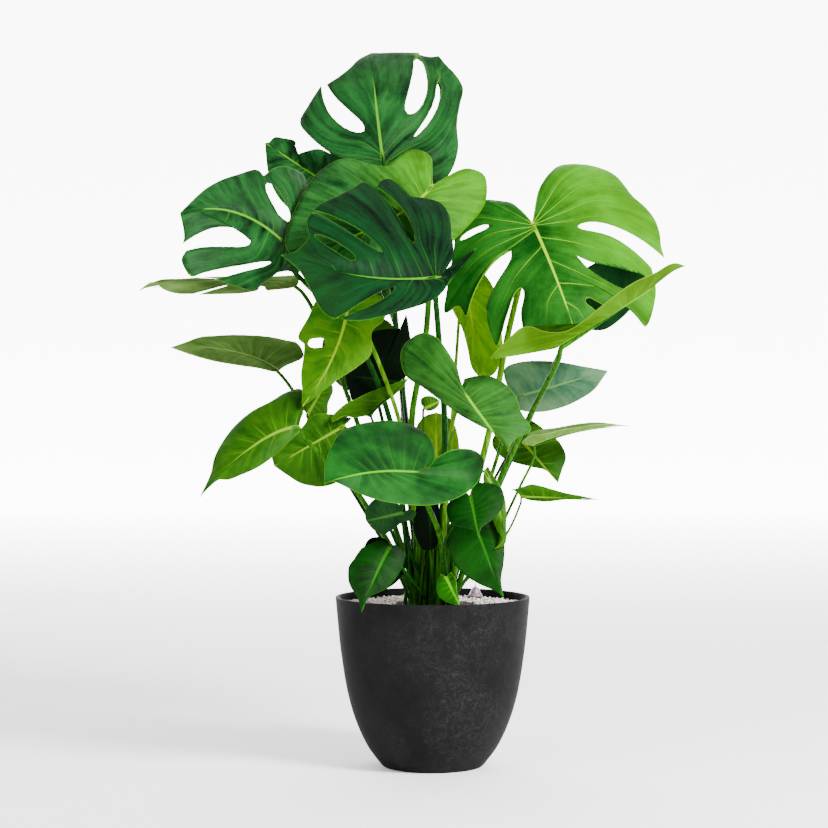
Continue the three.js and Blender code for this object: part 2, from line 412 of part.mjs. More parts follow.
function bladeSurface(leaf) {
  const vertices = [];
  const triangles = [];
  const split = leaf.sides.left.cuts.length + leaf.sides.right.cuts.length > 0;
  const small = leaf.length < SMALL_LENGTH;
  const plainLevels = small ? SMALL_LEVELS : PLAIN_LEVELS;
  const levels = split ? [...INNER_LEVELS, ...CUT_LEVELS.map((q) => 0.5 + 0.5 * q)] : plainLevels;
  const rows = levels.length - 1;
  const ribEnd = split ? 0.78 : 0.74;
  const bulge = leaf.bulge ?? 0.06;
  const add = (p) => vertices.push(p) - 1;

  const columnsOf = (side) => {
    const starts = [0];
    for (const c of side.cuts) {
      const reach = plus(c.inner, leaf.base, -1).dot(leaf.span);
      const away = Math.sqrt(Math.max(0, c.inner.distanceToSquared(leaf.base) - reach ** 2));
      starts.push(Math.max(starts[starts.length - 1] + 0.04, (reach - 0.7 * away) / leaf.length));
    }
    starts.push(ribEnd);
    const strips = [];
    side.lobes.forEach((lobe, l) => {
      const before = side.cuts[l - 1];
      const after = side.cuts[l];
      const across = (c, q) => {
        const way = leaf.up.clone().cross(cutPoint(c, q).heading).normalize();
        return way.dot(leaf.span) > 0 ? way : way.negate();
      };
      const edgeOf = (c, sign) => {
        if (c.closed) {
          return plus(c.outer, plus(c.outer, c.inner, -1), 0.18);
        }
        return plus(c.outer, across(c, 1), sign * c.mouth);
      };
      const margin = [before && edgeOf(before, 1), ...lobe, after && edgeOf(after, -1)].filter(Boolean);
      const plainColumns = small ? SMALL_COLUMNS : PLAIN_COLUMNS;
      const columns = side.cuts.length > 0 ? 2 + Math.round(margin.length / 5) : plainColumns;
      const ends = alongCurve(margin, columns);
      const vein = (m, end, t) => {
        const start = leaf.rib(m);
        const reach = start.distanceTo(end);
        const lift = plus(plus(mix(start, end, 0.5), leaf.up, 2 * bulge * reach), leaf.span, 0.05 * reach);
        return mix(mix(start, lift, t), mix(lift, end, t), t);
      };
      const besideCut = (c, sign, m, end, t) => {
        if (t <= 0.5) {
          return vein(m, c.inner, t / 0.5);
        }
        let q = (t - 0.5) / 0.5;
        if (c.closed && q > HOLE_END) {
          return mix(c.outer, end, (q - HOLE_END) / (1 - HOLE_END));
        }
        q = c.closed ? q / HOLE_END : q;
        return plus(cutPoint(c, q).point, across(c, q), sign * cutHalfWidth(c, q));
      };
      const first = starts[l];
      const last = starts[l + 1];
      for (let i = 0; i <= columns; i++) {
        const part = i / columns;
        const m = first + (last - first) * part;
        const column = levels.map((t) => {
          if (l === side.lobes.length - 1 && i === columns) {
            return leaf.rib(m + (1 - m) * t);
          }
          const p = vein(m, ends[i], t);
          if (before) {
            const edge = besideCut(before, 1, first, ends[0], t);
            p.addScaledVector(plus(edge, vein(first, ends[0], t), -1), 1 - part);
          }
          if (after) {
            const edge = besideCut(after, -1, last, ends[columns], t);
            p.addScaledVector(plus(edge, vein(last, ends[columns], t), -1), part);
          }
          return p;
        });
        strips.push({ lobe: l, m, points: column });
      }
    });
    return strips;
  };

  const sides = [columnsOf(leaf.sides.left), columnsOf(leaf.sides.right)];
  const places = new Set(sides.flat().map((strip) => Number(strip.m.toFixed(5))));
  const stations = [...places].sort((a, b) => a - b);
  const ribIndex = stations.map((m) => add(leaf.rib(m)));
  sides.forEach((strips, s) => {
    const put = (a, b, c) => triangles.push(s === 0 ? [a, c, b] : [a, b, c]);
    const indexed = strips.map((strip) => strip.points.map((p, r) => (r === 0 ? -1 : add(p))));
    const stationOf = (strip) => stations.indexOf(Number(strip.m.toFixed(5)));
    for (let i = 0; i < strips.length - 1; i++) {
      if (strips[i].lobe !== strips[i + 1].lobe) {
        continue;
      }
      const near = indexed[i];
      const next = indexed[i + 1];
      const from = stationOf(strips[i]);
      const to = stationOf(strips[i + 1]);
      const turn = Math.ceil((from + to) / 2);
      for (let k = from; k < to; k++) {
        put(ribIndex[k], k < turn ? near[1] : next[1], ribIndex[k + 1]);
      }
      put(near[1], next[1], ribIndex[turn]);
      for (let r = 1; r < rows; r++) {
        put(near[r], near[r + 1], next[r + 1]);
        put(near[r], next[r + 1], next[r]);
      }
    }
  });
  return { vertices, triangles };
}

const MERGE_DISTANCE = 0.05;

// Joins points that coincide and drops triangles that close up with them.
function weld({ vertices, triangles }) {
  const places = new Map();
  const kept = [];
  const index = vertices.map((p) => {
    const key = p.toArray().map((c) => Math.round(c / MERGE_DISTANCE)).join();
    if (!places.has(key)) {
      places.set(key, kept.push(p) - 1);
    }
    return places.get(key);
  });
  const joined = triangles.map((t) => t.map((i) => index[i]));
  return { vertices: kept, triangles: joined.filter(([a, b, c]) => a !== b && b !== c && a !== c) };
}

// Gives a surface a thickness: two faces split alike and a rim between them.
function thicken(surface, thickness) {
  const { vertices, triangles } = weld(surface);
  const normals = vertices.map(() => vec(0, 0, 0));
  for (const [a, b, c] of triangles) {
    const normal = plus(vertices[b], vertices[a], -1).cross(plus(vertices[c], vertices[a], -1));
    [a, b, c].forEach((i) => normals[i].add(normal));
  }
  normals.forEach((normal) => normal.normalize());
  const shift = (side) => vertices.map((p, i) => plus(p, normals[i], side * thickness / 2));
  const points = [...shift(1), ...shift(-1)];
  const under = vertices.length;
  const faces = [];
  const edges = new Map();
  for (const [a, b, c] of triangles) {
    faces.push([a, b, c], [under + a, under + c, under + b]);
    for (const [i, j] of [[a, b], [b, c], [c, a]]) {
      const back = `${j},${i}`;
      if (edges.has(back)) {
        edges.delete(back);
      } else {
        edges.set(`${i},${j}`, [i, j]);
      }
    }
  }
  for (const [i, j] of edges.values()) {
    faces.push([j, i, under + i], [j, under + i, under + j]);
  }
  return toManifold(points, faces);
}

function toManifold(points, faces) {
  const mesh = new wasm.Mesh({
    numProp: 3,
    vertProperties: new Float32Array(points.flatMap((p) => p.toArray())),
    triVerts: new Uint32Array(faces.flat()),
  });
  return new wasm.Manifold(mesh);
}

function geometryToManifold(geometry) {
  geometry.deleteAttribute("normal");
  geometry.deleteAttribute("uv");
  const merged = mergeVertices(geometry, 1e-4);
  const position = merged.attributes.position;
  const points = Array.from({ length: position.count }, (_, i) => vec().fromBufferAttribute(position, i));
  const index = Array.from(merged.index.array);
  const faces = [];
  for (let i = 0; i < index.length; i += 3) {
    const [a, b, c] = index.slice(i, i + 3);
    if (a !== b && b !== c && a !== c) {
      faces.push([a, b, c]);
    }
  }
  return toManifold(points, faces);
}

// A round bar bent along points, with a radius for each.
function bar(points, radii, sides) {
  const steps = points.length - 1;
  const geometry = new THREE.CylinderGeometry(1, 1, steps, sides, steps);
  const position = geometry.attributes.position;
  let across = vec(1, 0, 0);
  const frames = points.map((_, i) => {
    const tangent = plus(points[Math.min(i + 1, steps)], points[Math.max(i - 1, 0)], -1).normalize();
    across = plus(across, tangent, -across.dot(tangent)).normalize();
    return { across: across.clone(), beside: across.clone().cross(tangent) };
  });
  for (let i = 0; i < position.count; i++) {
    const step = Math.round(position.getY(i) + steps / 2);
    const { across: a, beside: b } = frames[step];
    const p = plus(plus(points[step], a, radii[step] * position.getX(i)), b, radii[step] * position.getZ(i));
    position.setXYZ(i, p.x, p.y, p.z);
  }
  return geometryToManifold(geometry);
}

// Where the stalks run: drawn lines from the soil to each blade's neck, read off at equal heights, then
// eased apart level by level until none touches another.
function routeStalks(leaves) {
  const [middleX, middleY] = MOUND_CENTRE;
  const routes = leaves.map((leaf) => {
    const neck = leaf.neck ? seen(...leaf.neck)
      : plus(leaf.base, leaf.up, -NECK * Math.min(1, leaf.thick[1] / USUAL_NECK));
    const limit = (value, reach) => Math.max(-reach, Math.min(reach, value));
    const foot = leaf.foot ? vec(leaf.foot[0], leaf.foot[1], MOUND_LEVEL)
      : vec(middleX + limit((neck.x - middleX) * CLUMP_SPREAD, CLUMP_RADIUS[0]),
        middleY + limit((neck.y - middleY) * CLUMP_SPREAD * 1.6, CLUMP_RADIUS[1]), MOUND_LEVEL);
    const drawn = (leaf.stalk ?? []).map(([u, v, depth]) => {
      const height = seen(u, v, (foot.y + neck.y) / 2).z;
      const rise = Math.max(0, Math.min(1, (height - foot.z) / (neck.z - foot.z)));
      return seen(u, v, depth ?? foot.y + (neck.y - foot.y) * rise ** 1.4);
    });
    const line = [plus(foot, vec(0, 0, 1), -10), foot, ...drawn, neck];
    const fine = new THREE.CatmullRomCurve3(line, false, "centripetal").getPoints(120);
    const levels = [];
    for (const z of STALK_LEVELS.filter((level) => level < neck.z - NECK)) {
      const at = fine.findIndex((p, i) => i > 0 && p.z >= z);
      const t = (z - fine[at - 1].z) / (fine[at].z - fine[at - 1].z || 1);
      levels.push(mix(fine[at - 1], fine[at], t));
    }
    if (levels.length === 0) {
      levels.push(foot.clone());
    }
    return { levels, neck, shifts: levels.map(() => vec(0, 0, 0)) };
  });
  const radii = routes.map(({ levels }, i) => {
    const [thick, thin] = leaves[i].thick;
    return levels.map((_, k) => thick + (thin - thick) * (k / levels.length));
  });
  const centreOf = (route, k) => plus(route.levels[k], route.shifts[k]);
  for (let pass = 0; pass < EASING_PASSES; pass++) {
    routes.forEach((route, i) => {
      for (let j = i + 1; j < routes.length; j++) {
        const other = routes[j];
        for (let k = 0; k < Math.min(route.levels.length, other.levels.length); k++) {
          const need = radii[i][k] + radii[j][k] + STALK_CLEARANCE;
          const apart = plus(centreOf(route, k), centreOf(other, k), -1);
          const distance = Math.hypot(apart.x, apart.y) || 0.01;
          if (distance < need) {
            const push = (need - distance) / distance / 2;
            const step = vec(apart.x * push, apart.y * push || 0.1, 0);
            route.shifts[k].add(step);
            other.shifts[k].sub(step);
          }
        }
      }
    });
    if (pass < EASING_PASSES - SETTLING_PASSES) {
      for (const { shifts } of routes) {
        shifts.forEach((shift, k) => {
          const below = shifts[Math.max(k - 1, 0)];
          const above = k + 1 < shifts.length ? shifts[k + 1] : vec(0, 0, 0);
          shift.lerp(mix(below, above, 0.5), 0.3);
        });
      }
    }
  }
  routes.forEach((route) => {
    route.levels = route.levels.map((_, k) => centreOf(route, k));
  });
  return routes;
}

function leafSolid(leaf, route) {
  const foot = route.levels[0];
  const [thick, thin] = leaf.thick;
  const buried = vec(foot.x, foot.y, MOUND_LEVEL - HOLE_DEPTH + GAP);
  const path = [buried, plus(foot, vec(0, 0, 1), thick + 2), ...route.levels.slice(1), route.neck];
  const radii = path.map((_, k) => (k < 2 ? thick : thick + (thin - thick) * ((k - 1) / (path.length - 2))));
  const depth = 0.45 * thin;
  for (const s of leaf.length < SMALL_LENGTH ? SMALL_RIB_STOPS : RIB_STOPS) {
    const radius = thin * (1 - s) * 0.8 + 0.5;
    path.push(plus(leaf.rib(s), leaf.up, -depth * (1 - s) - 0.2));
    radii.push(radius);
  }
  const stalk = bar(path, radii, STALK_SIDES);
  return largest(thicken(bladeSurface(leaf), BLADE_THICKNESS).add(stalk).simplify(FACE_TOLERANCE));
}

// Leaves out any speck that a join closed off.
function largest(solid) {
  return solid.decompose().sort((a, b) => b.volume() - a.volume())[0];
}

function lathe(profile, sides) {
  const points = profile.map(([radius, z]) => new THREE.Vector2(radius, z));
  const geometry = new THREE.LatheGeometry(points, sides);
  geometry.rotateX(Math.PI / 2);
  return geometryToManifold(geometry);
}

function planter() {
  const inside = PLANTER_PROFILE.slice(2).map(([radius, z]) => [radius - WALL, z]);
  const floor = [[PLANTER_PROFILE[2][0] - WALL - FLOOR_CURVE, FLOOR], [0, FLOOR]];
  return lathe([[0, 0], ...PLANTER_PROFILE, ...inside.reverse(), ...floor], PLANTER_SIDES);
}

// A seeded even mix of numbers from 0 to 1.
function random(seed) {
  let state = seed;
  return () => {
    state = (state * 16807) % 2147483647;
    return state / 2147483647;
  };
}

function insideRadius(z) {
  const profile = PLANTER_PROFILE.slice(2);
  const next = Math.max(1, profile.findIndex(([, height]) => height >= z));
  const [r0, z0] = profile[next - 1];
  const [r1, z1] = profile[next];
  return r0 + (r1 - r0) * (z - z0) / (z1 - z0) - WALL - GAP;
}

function soil(routes, leaves) {
  const steps = PLANTER_PROFILE.slice(2).filter(([, z]) => z < SOIL_LEVEL);
  const side = steps.map(([radius, z]) => [radius - WALL - GAP - 0.1, z]);
  const low = FLOOR + GAP;
  const foot = [[0, low], [PLANTER_PROFILE[2][0] - WALL - FLOOR_CURVE - GAP, low]];
  const top = [[insideRadius(SOIL_LEVEL), SOIL_LEVEL], [0, SOIL_LEVEL]];
  const body = lathe([...foot, ...side, ...top], PLANTER_SIDES);
  const edge = MOUND_RADIUS - MOUND_EDGE;
  const mound = lathe([
    [0, SOIL_LEVEL - MOUND_FOOT], [MOUND_RADIUS, SOIL_LEVEL - MOUND_FOOT], [MOUND_RADIUS, MOUND_LEVEL - 3],
    [edge, MOUND_LEVEL], [0, MOUND_LEVEL],
  ], MOUND_SIDES).translate([...MOUND_CENTRE, 0]);
  let solid = body.add(mound);
  routes.forEach(({ levels: [{ x, y }] }, i) => {
    const radius = leaves[i].thick[0] + HOLE_GAP;
    const ends = [vec(x, y, MOUND_LEVEL - HOLE_DEPTH), vec(x, y, MOUND_LEVEL + MOUND_FOOT)];
    solid = solid.subtract(bar(ends, [radius, radius], STALK_SIDES));
  });
  return solid.subtract(gaugeSocket(GAP));
}

function gravel() {
  const draw = random(11);
  const outer = insideRadius(SOIL_LEVEL) - 0.2;
  const inner = MOUND_RADIUS + 3;
  const [cx, cy] = MOUND_CENTRE;
  const points = [];
  const faces = [];
  const levelAt = () => GRAVEL_LEVEL + GRAVEL_RELIEF * (2 * draw() - 1);
  for (let r = 0; r <= GRAVEL_ROWS; r++) {
    for (let i = 0; i < GRAVEL_SIDES; i++) {
      const angle = 2 * Math.PI * (i + (r % 2) / 2) / GRAVEL_SIDES;
      const part = r / GRAVEL_ROWS;
      const x = inner * Math.cos(angle) * (1 - part) + outer * Math.cos(angle) * part + cx * (1 - part);
      const y = inner * Math.sin(angle) * (1 - part) + outer * Math.sin(angle) * part + cy * (1 - part);
      points.push(vec(x, y, levelAt()));
    }
  }
  const bottom = points.length;
  for (const row of [0, GRAVEL_ROWS]) {
    for (let i = 0; i < GRAVEL_SIDES; i++) {
      const top = points[row * GRAVEL_SIDES + i];
      points.push(vec(top.x, top.y, SOIL_LEVEL + GAP));
    }
  }
  const at = (r, i) => r * GRAVEL_SIDES + (i + GRAVEL_SIDES) % GRAVEL_SIDES;
  const low = (ring, i) => bottom + ring * GRAVEL_SIDES + (i + GRAVEL_SIDES) % GRAVEL_SIDES;
  for (let i = 0; i < GRAVEL_SIDES; i++) {
    for (let r = 0; r < GRAVEL_ROWS; r++) {
      if (r % 2 === 0) {
        faces.push([at(r, i), at(r + 1, i), at(r, i + 1)], [at(r + 1, i), at(r + 1, i + 1), at(r, i + 1)]);
      } else {
        faces.push([at(r, i), at(r + 1, i), at(r + 1, i + 1)], [at(r, i), at(r + 1, i + 1), at(r, i + 1)]);
      }
    }
    faces.push([at(0, i), at(0, i + 1), low(0, i)], [at(0, i + 1), low(0, i + 1), low(0, i)]);
    const [outside, next] = [at(GRAVEL_ROWS, i), at(GRAVEL_ROWS, i + 1)];
    faces.push([outside, low(1, i), next], [next, low(1, i), low(1, i + 1)]);
    faces.push([low(0, i), low(0, i + 1), low(1, i)], [low(0, i + 1), low(1, i + 1), low(1, i)]);
  }
  return toManifold(points, faces).subtract(gaugeSocket(GAP));
}

function gaugeSocket(gap) {
  const radius = CAP_STEM_RADIUS + gap;
  const foot = GAUGE_FOOT - gap;
  return lathe([[0, foot], [radius, foot], [radius, PLANTER_HEIGHT], [0, PLANTER_HEIGHT]], GAUGE_SIDES)
    .translate([...GAUGE_PLACE, 0]);
}

function gaugeCap() {
  const bore = PIN_RADIUS + GAP;
  const top = CAP_SEAT + CAP_HEIGHT;
  return lathe([
    [bore, GAUGE_FOOT], [CAP_STEM_RADIUS, GAUGE_FOOT], [CAP_STEM_RADIUS, CAP_SEAT], [CAP_RADIUS, CAP_SEAT],
    [CAP_RADIUS - 0.5, CAP_SEAT + 3], [CAP_RADIUS * 0.55, CAP_SEAT + CAP_HEIGHT * 0.62],
    [bore + 1.2, top], [bore, top], [bore, GAUGE_FOOT],
  ], GAUGE_SIDES).translate([...GAUGE_PLACE, 0]);
}

function gaugePin() {
  const foot = GAUGE_FOOT + 1;
  return lathe([[0, foot], [PIN_RADIUS, foot], [PIN_RADIUS, PIN_TOP - 1], [0, PIN_TOP]], PIN_SIDES)
    .translate([...GAUGE_PLACE, 0]);
}

function toNode(name, solid, color, roughness) {
  const { vertProperties, triVerts, numProp } = solid.getMesh();
  const geometry = new THREE.BufferGeometry();
  const position = new Float32Array(vertProperties.length / numProp * 3);
  for (let i = 0; i < position.length / 3; i++) {
    position.set(vertProperties.subarray(i * numProp, i * numProp + 3), i * 3);
  }
  geometry.setAttribute("position", new THREE.BufferAttribute(position, 3));
  geometry.setIndex(new THREE.BufferAttribute(new Uint32Array(triVerts), 1));
  const mesh = new THREE.Mesh(geometry, new THREE.MeshStandardMaterial({ color, roughness }));
  mesh.name = name;
  return mesh;
}

const plant = new THREE.Group();
plant.name = "potted_swiss_cheese_plant";
const leaves = LEAVES.map(placeLeaf);
const routes = routeStalks(leaves);
plant.add(toNode("planter", planter(), 0x3a3b3d, 0.75));
plant.add(toNode("soil", soil(routes, leaves), 0x4a3020, 0.9));
plant.add(toNode("gravel", gravel(), 0xd8d2c8, 0.8));
plant.add(toNode("gauge_cap", gaugeCap(), 0xd9d9d2, 0.3));
plant.add(toNode("gauge_pin", gaugePin(), 0xb5662a, 0.5));
leaves.forEach((leaf, i) => plant.add(toNode(leaf.name, leafSolid(leaf, routes[i]), 0x2f7a34, 0.5)));

export default plant;
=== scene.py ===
"""A potted swiss cheese plant: planter, soil, white gravel, water gauge and a clump of leaves on long stalks.

Every piece is worked out in millimetres and made in metres.
"""

import math
import random

import bpy
from mathutils import Matrix, Vector
from mathutils.geometry import intersect_point_line
from mathutils.kdtree import KDTree


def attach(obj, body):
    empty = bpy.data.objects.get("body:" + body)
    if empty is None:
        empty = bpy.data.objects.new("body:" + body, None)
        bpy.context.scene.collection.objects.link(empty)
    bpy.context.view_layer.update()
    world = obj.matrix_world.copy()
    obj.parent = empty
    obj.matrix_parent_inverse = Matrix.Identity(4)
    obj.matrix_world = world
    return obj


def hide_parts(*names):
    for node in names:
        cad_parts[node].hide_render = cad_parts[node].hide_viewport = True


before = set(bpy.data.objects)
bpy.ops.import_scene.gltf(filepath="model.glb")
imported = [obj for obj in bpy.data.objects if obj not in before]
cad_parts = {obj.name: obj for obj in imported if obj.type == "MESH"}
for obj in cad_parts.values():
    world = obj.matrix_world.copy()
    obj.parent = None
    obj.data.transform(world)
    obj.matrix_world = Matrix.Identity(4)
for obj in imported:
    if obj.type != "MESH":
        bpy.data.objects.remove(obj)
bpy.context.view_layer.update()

MM = 0.001

# Eye of the picture: its distance in front of the planter's axis, its height, and how far it stands to the side
EYE_DISTANCE = 3364
EYE_HEIGHT = 595
EYE_SIDE = -31.6
FOCAL_PIXELS = 1981.7
PICTURE_WIDTH = 828
PICTURE_CENTRE = 414
SENSOR_WIDTH = 36
VIEW_END = 50

# Planter
RIM_RADIUS = 165
PLANTER_HEIGHT = 286
WALL = 6
FLOOR_THICKNESS = 8
FLOOR_ROUND = 14
PLANTER_PROFILE = [(84, 0), (88, 3), (109, 31), (128, 70), (143, 118), (156, 195), (RIM_RADIUS, PLANTER_HEIGHT)]
PLANTER_SIDES = 144
PROFILE_STEPS = 5
ROUNDED_FROM = math.radians(50)
SMOOTH_BELOW, SHEATH_SMOOTH_BELOW = math.radians(35), math.radians(60)
PLANTER_EDGE, CAP_EDGE, PIN_EDGE = (1.6, 3), (0.4, 2), (0.1, 2)

# Soil and gravel
MOUND_LEVEL = 271
MOUND_RADIUS = 74
MOUND_CENTRE = (4, -4)
MOUND_FALL = 0.35
MOUND_SHOULDER = 8
MOUND_OVERLAP = 3
GRAVEL_LEVEL = 273
GRAVEL_BED = 269.5
GRAIN_SIZE = (1.7, 3.1)
GRAIN_COUNT = 2900
GRAIN_LIFT = (0.6, 4.2)
GRAIN_CLEARANCE = 2.6
CAP_OVERLAP = 3
RING_OVERLAP, RING_RAGGED = 4, 7
CRUMB_SIZE = (1.0, 2.6)
CRUMB_COUNT = 1500
CRUMB_LIFT = (0, 1.6)
CRUMB_CLEARANCE = 5
GRAVEL_SEED, CRUMB_SEED, SHEATH_SEED = 5, 9, 3
STONE_SHAPES = 4
STONE_UNEVEN = 0.22
STONE_STRETCH = (1, 0.85, 0.72)
STONE_TURN, STONE_TILT = 6.28, 0.7

# Water gauge. The cap's bell is given as parts of its radius and of its height.
GAUGE_PLACE = (76, 112)
CAP_RADIUS = 13
CAP_HEIGHT = 17
CAP_STEM_RADIUS = 5
CAP_SEAT = GRAVEL_LEVEL + 2.2
CAP_BELL = [(1, 0.06), (0.96, 0.16), (0.74, 0.38), (0.62, 0.6), (0.5, 0.8), (0.26, 0.96)]
CAP_LIP = 0.4
CAP_RECESS = 6
CAP_SIDES = 48
BELL_STEPS = 4
GAUGE_FOOT = 236
PIN_RADIUS = 1.4
PIN_TOP = 296
PIN_SIDES = 24
PIN_SHAPE = [(1, -1), (0.7, -0.3), (0.2, 0)]
GAP = 0.3

# Leaves. A half of a leaf leans by a slope, and droops by so many millimetres at DROOP_REACH from the midrib. A
# depth that isn't drawn is found in DEPTH_TURNS, the first ones halved so that it settles.
BLADE_THICKNESS = 1.2
BULGE = 0.06
SWEEP = 0.05
DROOP_REACH = 100
DEPTH_TURNS, HALVED_TURNS = 16, 6
RIPPLE = 0.6
RIPPLE_LENGTH = 180
RIB_STEPS = 60
RIB_FALL = 12
MARGIN_FALL = 14
SMOOTHING_PASSES = 8

# The grid of a blade: rows from the midrib to the margin, and columns that stand on the midrib
INNER_ROWS = 7
CUT_START = 0.5
ROUNDED_END = 0.3
MOUTH_START = 0.5
HOLE_TAPER = 0.65
HOLE_END = 0.8
HOLE_TAIL = 0.18
CUT_LEVELS = [0.02, 0.06, 0.13, 0.22, 0.33, 0.45, 0.57, 0.68, 0.77, HOLE_END, 0.88, 0.95, 1]
PLAIN_ROWS = 14
PLAIN_RIB_END, SPLIT_RIB_END = 0.74, 0.78
PLAIN_VEIN_SPACING, SPLIT_VEIN_SPACING = 0.2295, 0.32
VEIN_SLANT = 0.7
CUT_SPACING = 0.04
COLUMNS_PER_VEIN = 6
COLUMN_WIDTH = 6
MARGIN_STEPS = 12
WELD_REACH = 0.05

# Stalks, from the clump to the ridge that each forms under its midrib
HOLE_DEPTH = 22
FOOT_RISE = 2
STALK_LEVELS = [MOUND_LEVEL + rise for rise in (0, 26, 64, 120, 200, 310, 450, 630)]
STALK_CLEARANCE = 2.4
STALK_STEPS = 6
STALK_SIDES = 12
DRAWN_STEPS = 24
DRAWN_BURIED = 10
RISE_CURVE = 1.4
NECK = 26
NECK_THICKNESS = 3.5
CLUMP_SPREAD = 0.13
DEPTH_SPREAD = 1.6
CLUMP_RADIUS = (46, 38)
EASING_PASSES = 400
SETTLING_PASSES = 60
EASING = 0.3
RIDGE_STOPS = (0.02, 0.12, 0.3, 0.5, 0.7, 0.9)
RIDGE_PART = 0.8
RIDGE_TAPER = 1.3
RIDGE_END = 0.45

# Sheaths round the stalks' feet
SHEATH_COUNT = 90
SHEATH_HEIGHT = (60, 220)
SHEATH_RADIUS = (4, 7)
SHEATH_TIP = 0.8
SHEATH_SIDES = 10
SHEATH_STRAY = 8
SHEATH_PULL = 0.95
SHEATH_TURNS = [(-0.1, 0.1), (-0.1, 0.1), (0, 3)]
SHEATH_BURIED = 4
SHEATH_FLATNESS = 0.55

# Studio: the light that falls on the plant's front, how far colours are deepened for it, and each lamp's place and
# size in metres and power in watts
STUDIO_LIGHT = 4.3
VIVIDNESS = 0.3
WORLD_LIGHT = 0.9
BACKDROP_PLACE = 9
BACKDROP_GLOW = 7
GLOW_START = 0.6
LAMP_AIM = (0, 0, 0.6)
LIGHTS = {
    "light_main": ((2.5, -2.4, 2.8), 1.2, 590),
    "light_fill": ((-3.2, -2.8, 2.2), 2.4, 120),
    "light_back": ((0.4, 2.4, 3.4), 2.4, 40),
}

# How a light shows in the view: a middle grey and its stops, the stops that bright and dark tones span, the tone
# out of 255 below which a colour counts as dark, and the most that a surface gives back
SHOWN_GREY, GREY_STOPS = 0.47, -2.47
BRIGHT_STOPS, DARK_STOPS, DARK_BELOW = 8.1, 11, 120
MOST_REFLECTED = 0.92

# How much of its midrib a leaf's ridge follows, where it doesn't reach the tip
RIDGE_REACH = {"turned_right": 0.6}
# A slit that opens behind another leaf: its outline on the picture, and the depths between which it is cut
SLITS = {"bright_right": [(577, 256), (591, 262), (607, 265.5), (628, 270.5), (646, 277.5), (635, 290),
                          (624, 289), (606, 280), (588, 268)]}
SLIT_DEPTHS = (-220, 30)
SLIT_STEPS = 6

LEFT, RIGHT = -1, 1


def add(name, data):
    """A new object that shows a mesh, a curve, a lamp or a camera."""
    made = bpy.data.objects.new(name, data)
    bpy.context.scene.collection.objects.link(made)
    return made


def set_camera():
    """The picture's own view, level and square to the plant."""
    camera = add("camera", bpy.data.cameras.new("camera"))
    camera.data.sensor_width = SENSOR_WIDTH
    camera.data.lens = SENSOR_WIDTH * FOCAL_PIXELS / PICTURE_WIDTH
    camera.data.clip_end = VIEW_END
    camera.location = (EYE_SIDE * MM, -EYE_DISTANCE * MM, EYE_HEIGHT * MM)
    camera.rotation_euler = (math.pi / 2, 0, 0)
    bpy.context.scene.camera = camera


set_camera()


def cut(inner, outer, middle, half, mouth, closed=False):
    """A cut that opens at the margin: its inner and outer ends, a point between, half its width, half its mouth."""
    return {"inner": inner, "outer": outer, "middle": middle, "half": half, "mouth": mouth, "closed": closed}


def hole(inner, outer, middle, half):
    """A cut that stays closed at the margin."""
    return cut(inner, outer, middle, half, 0, True)


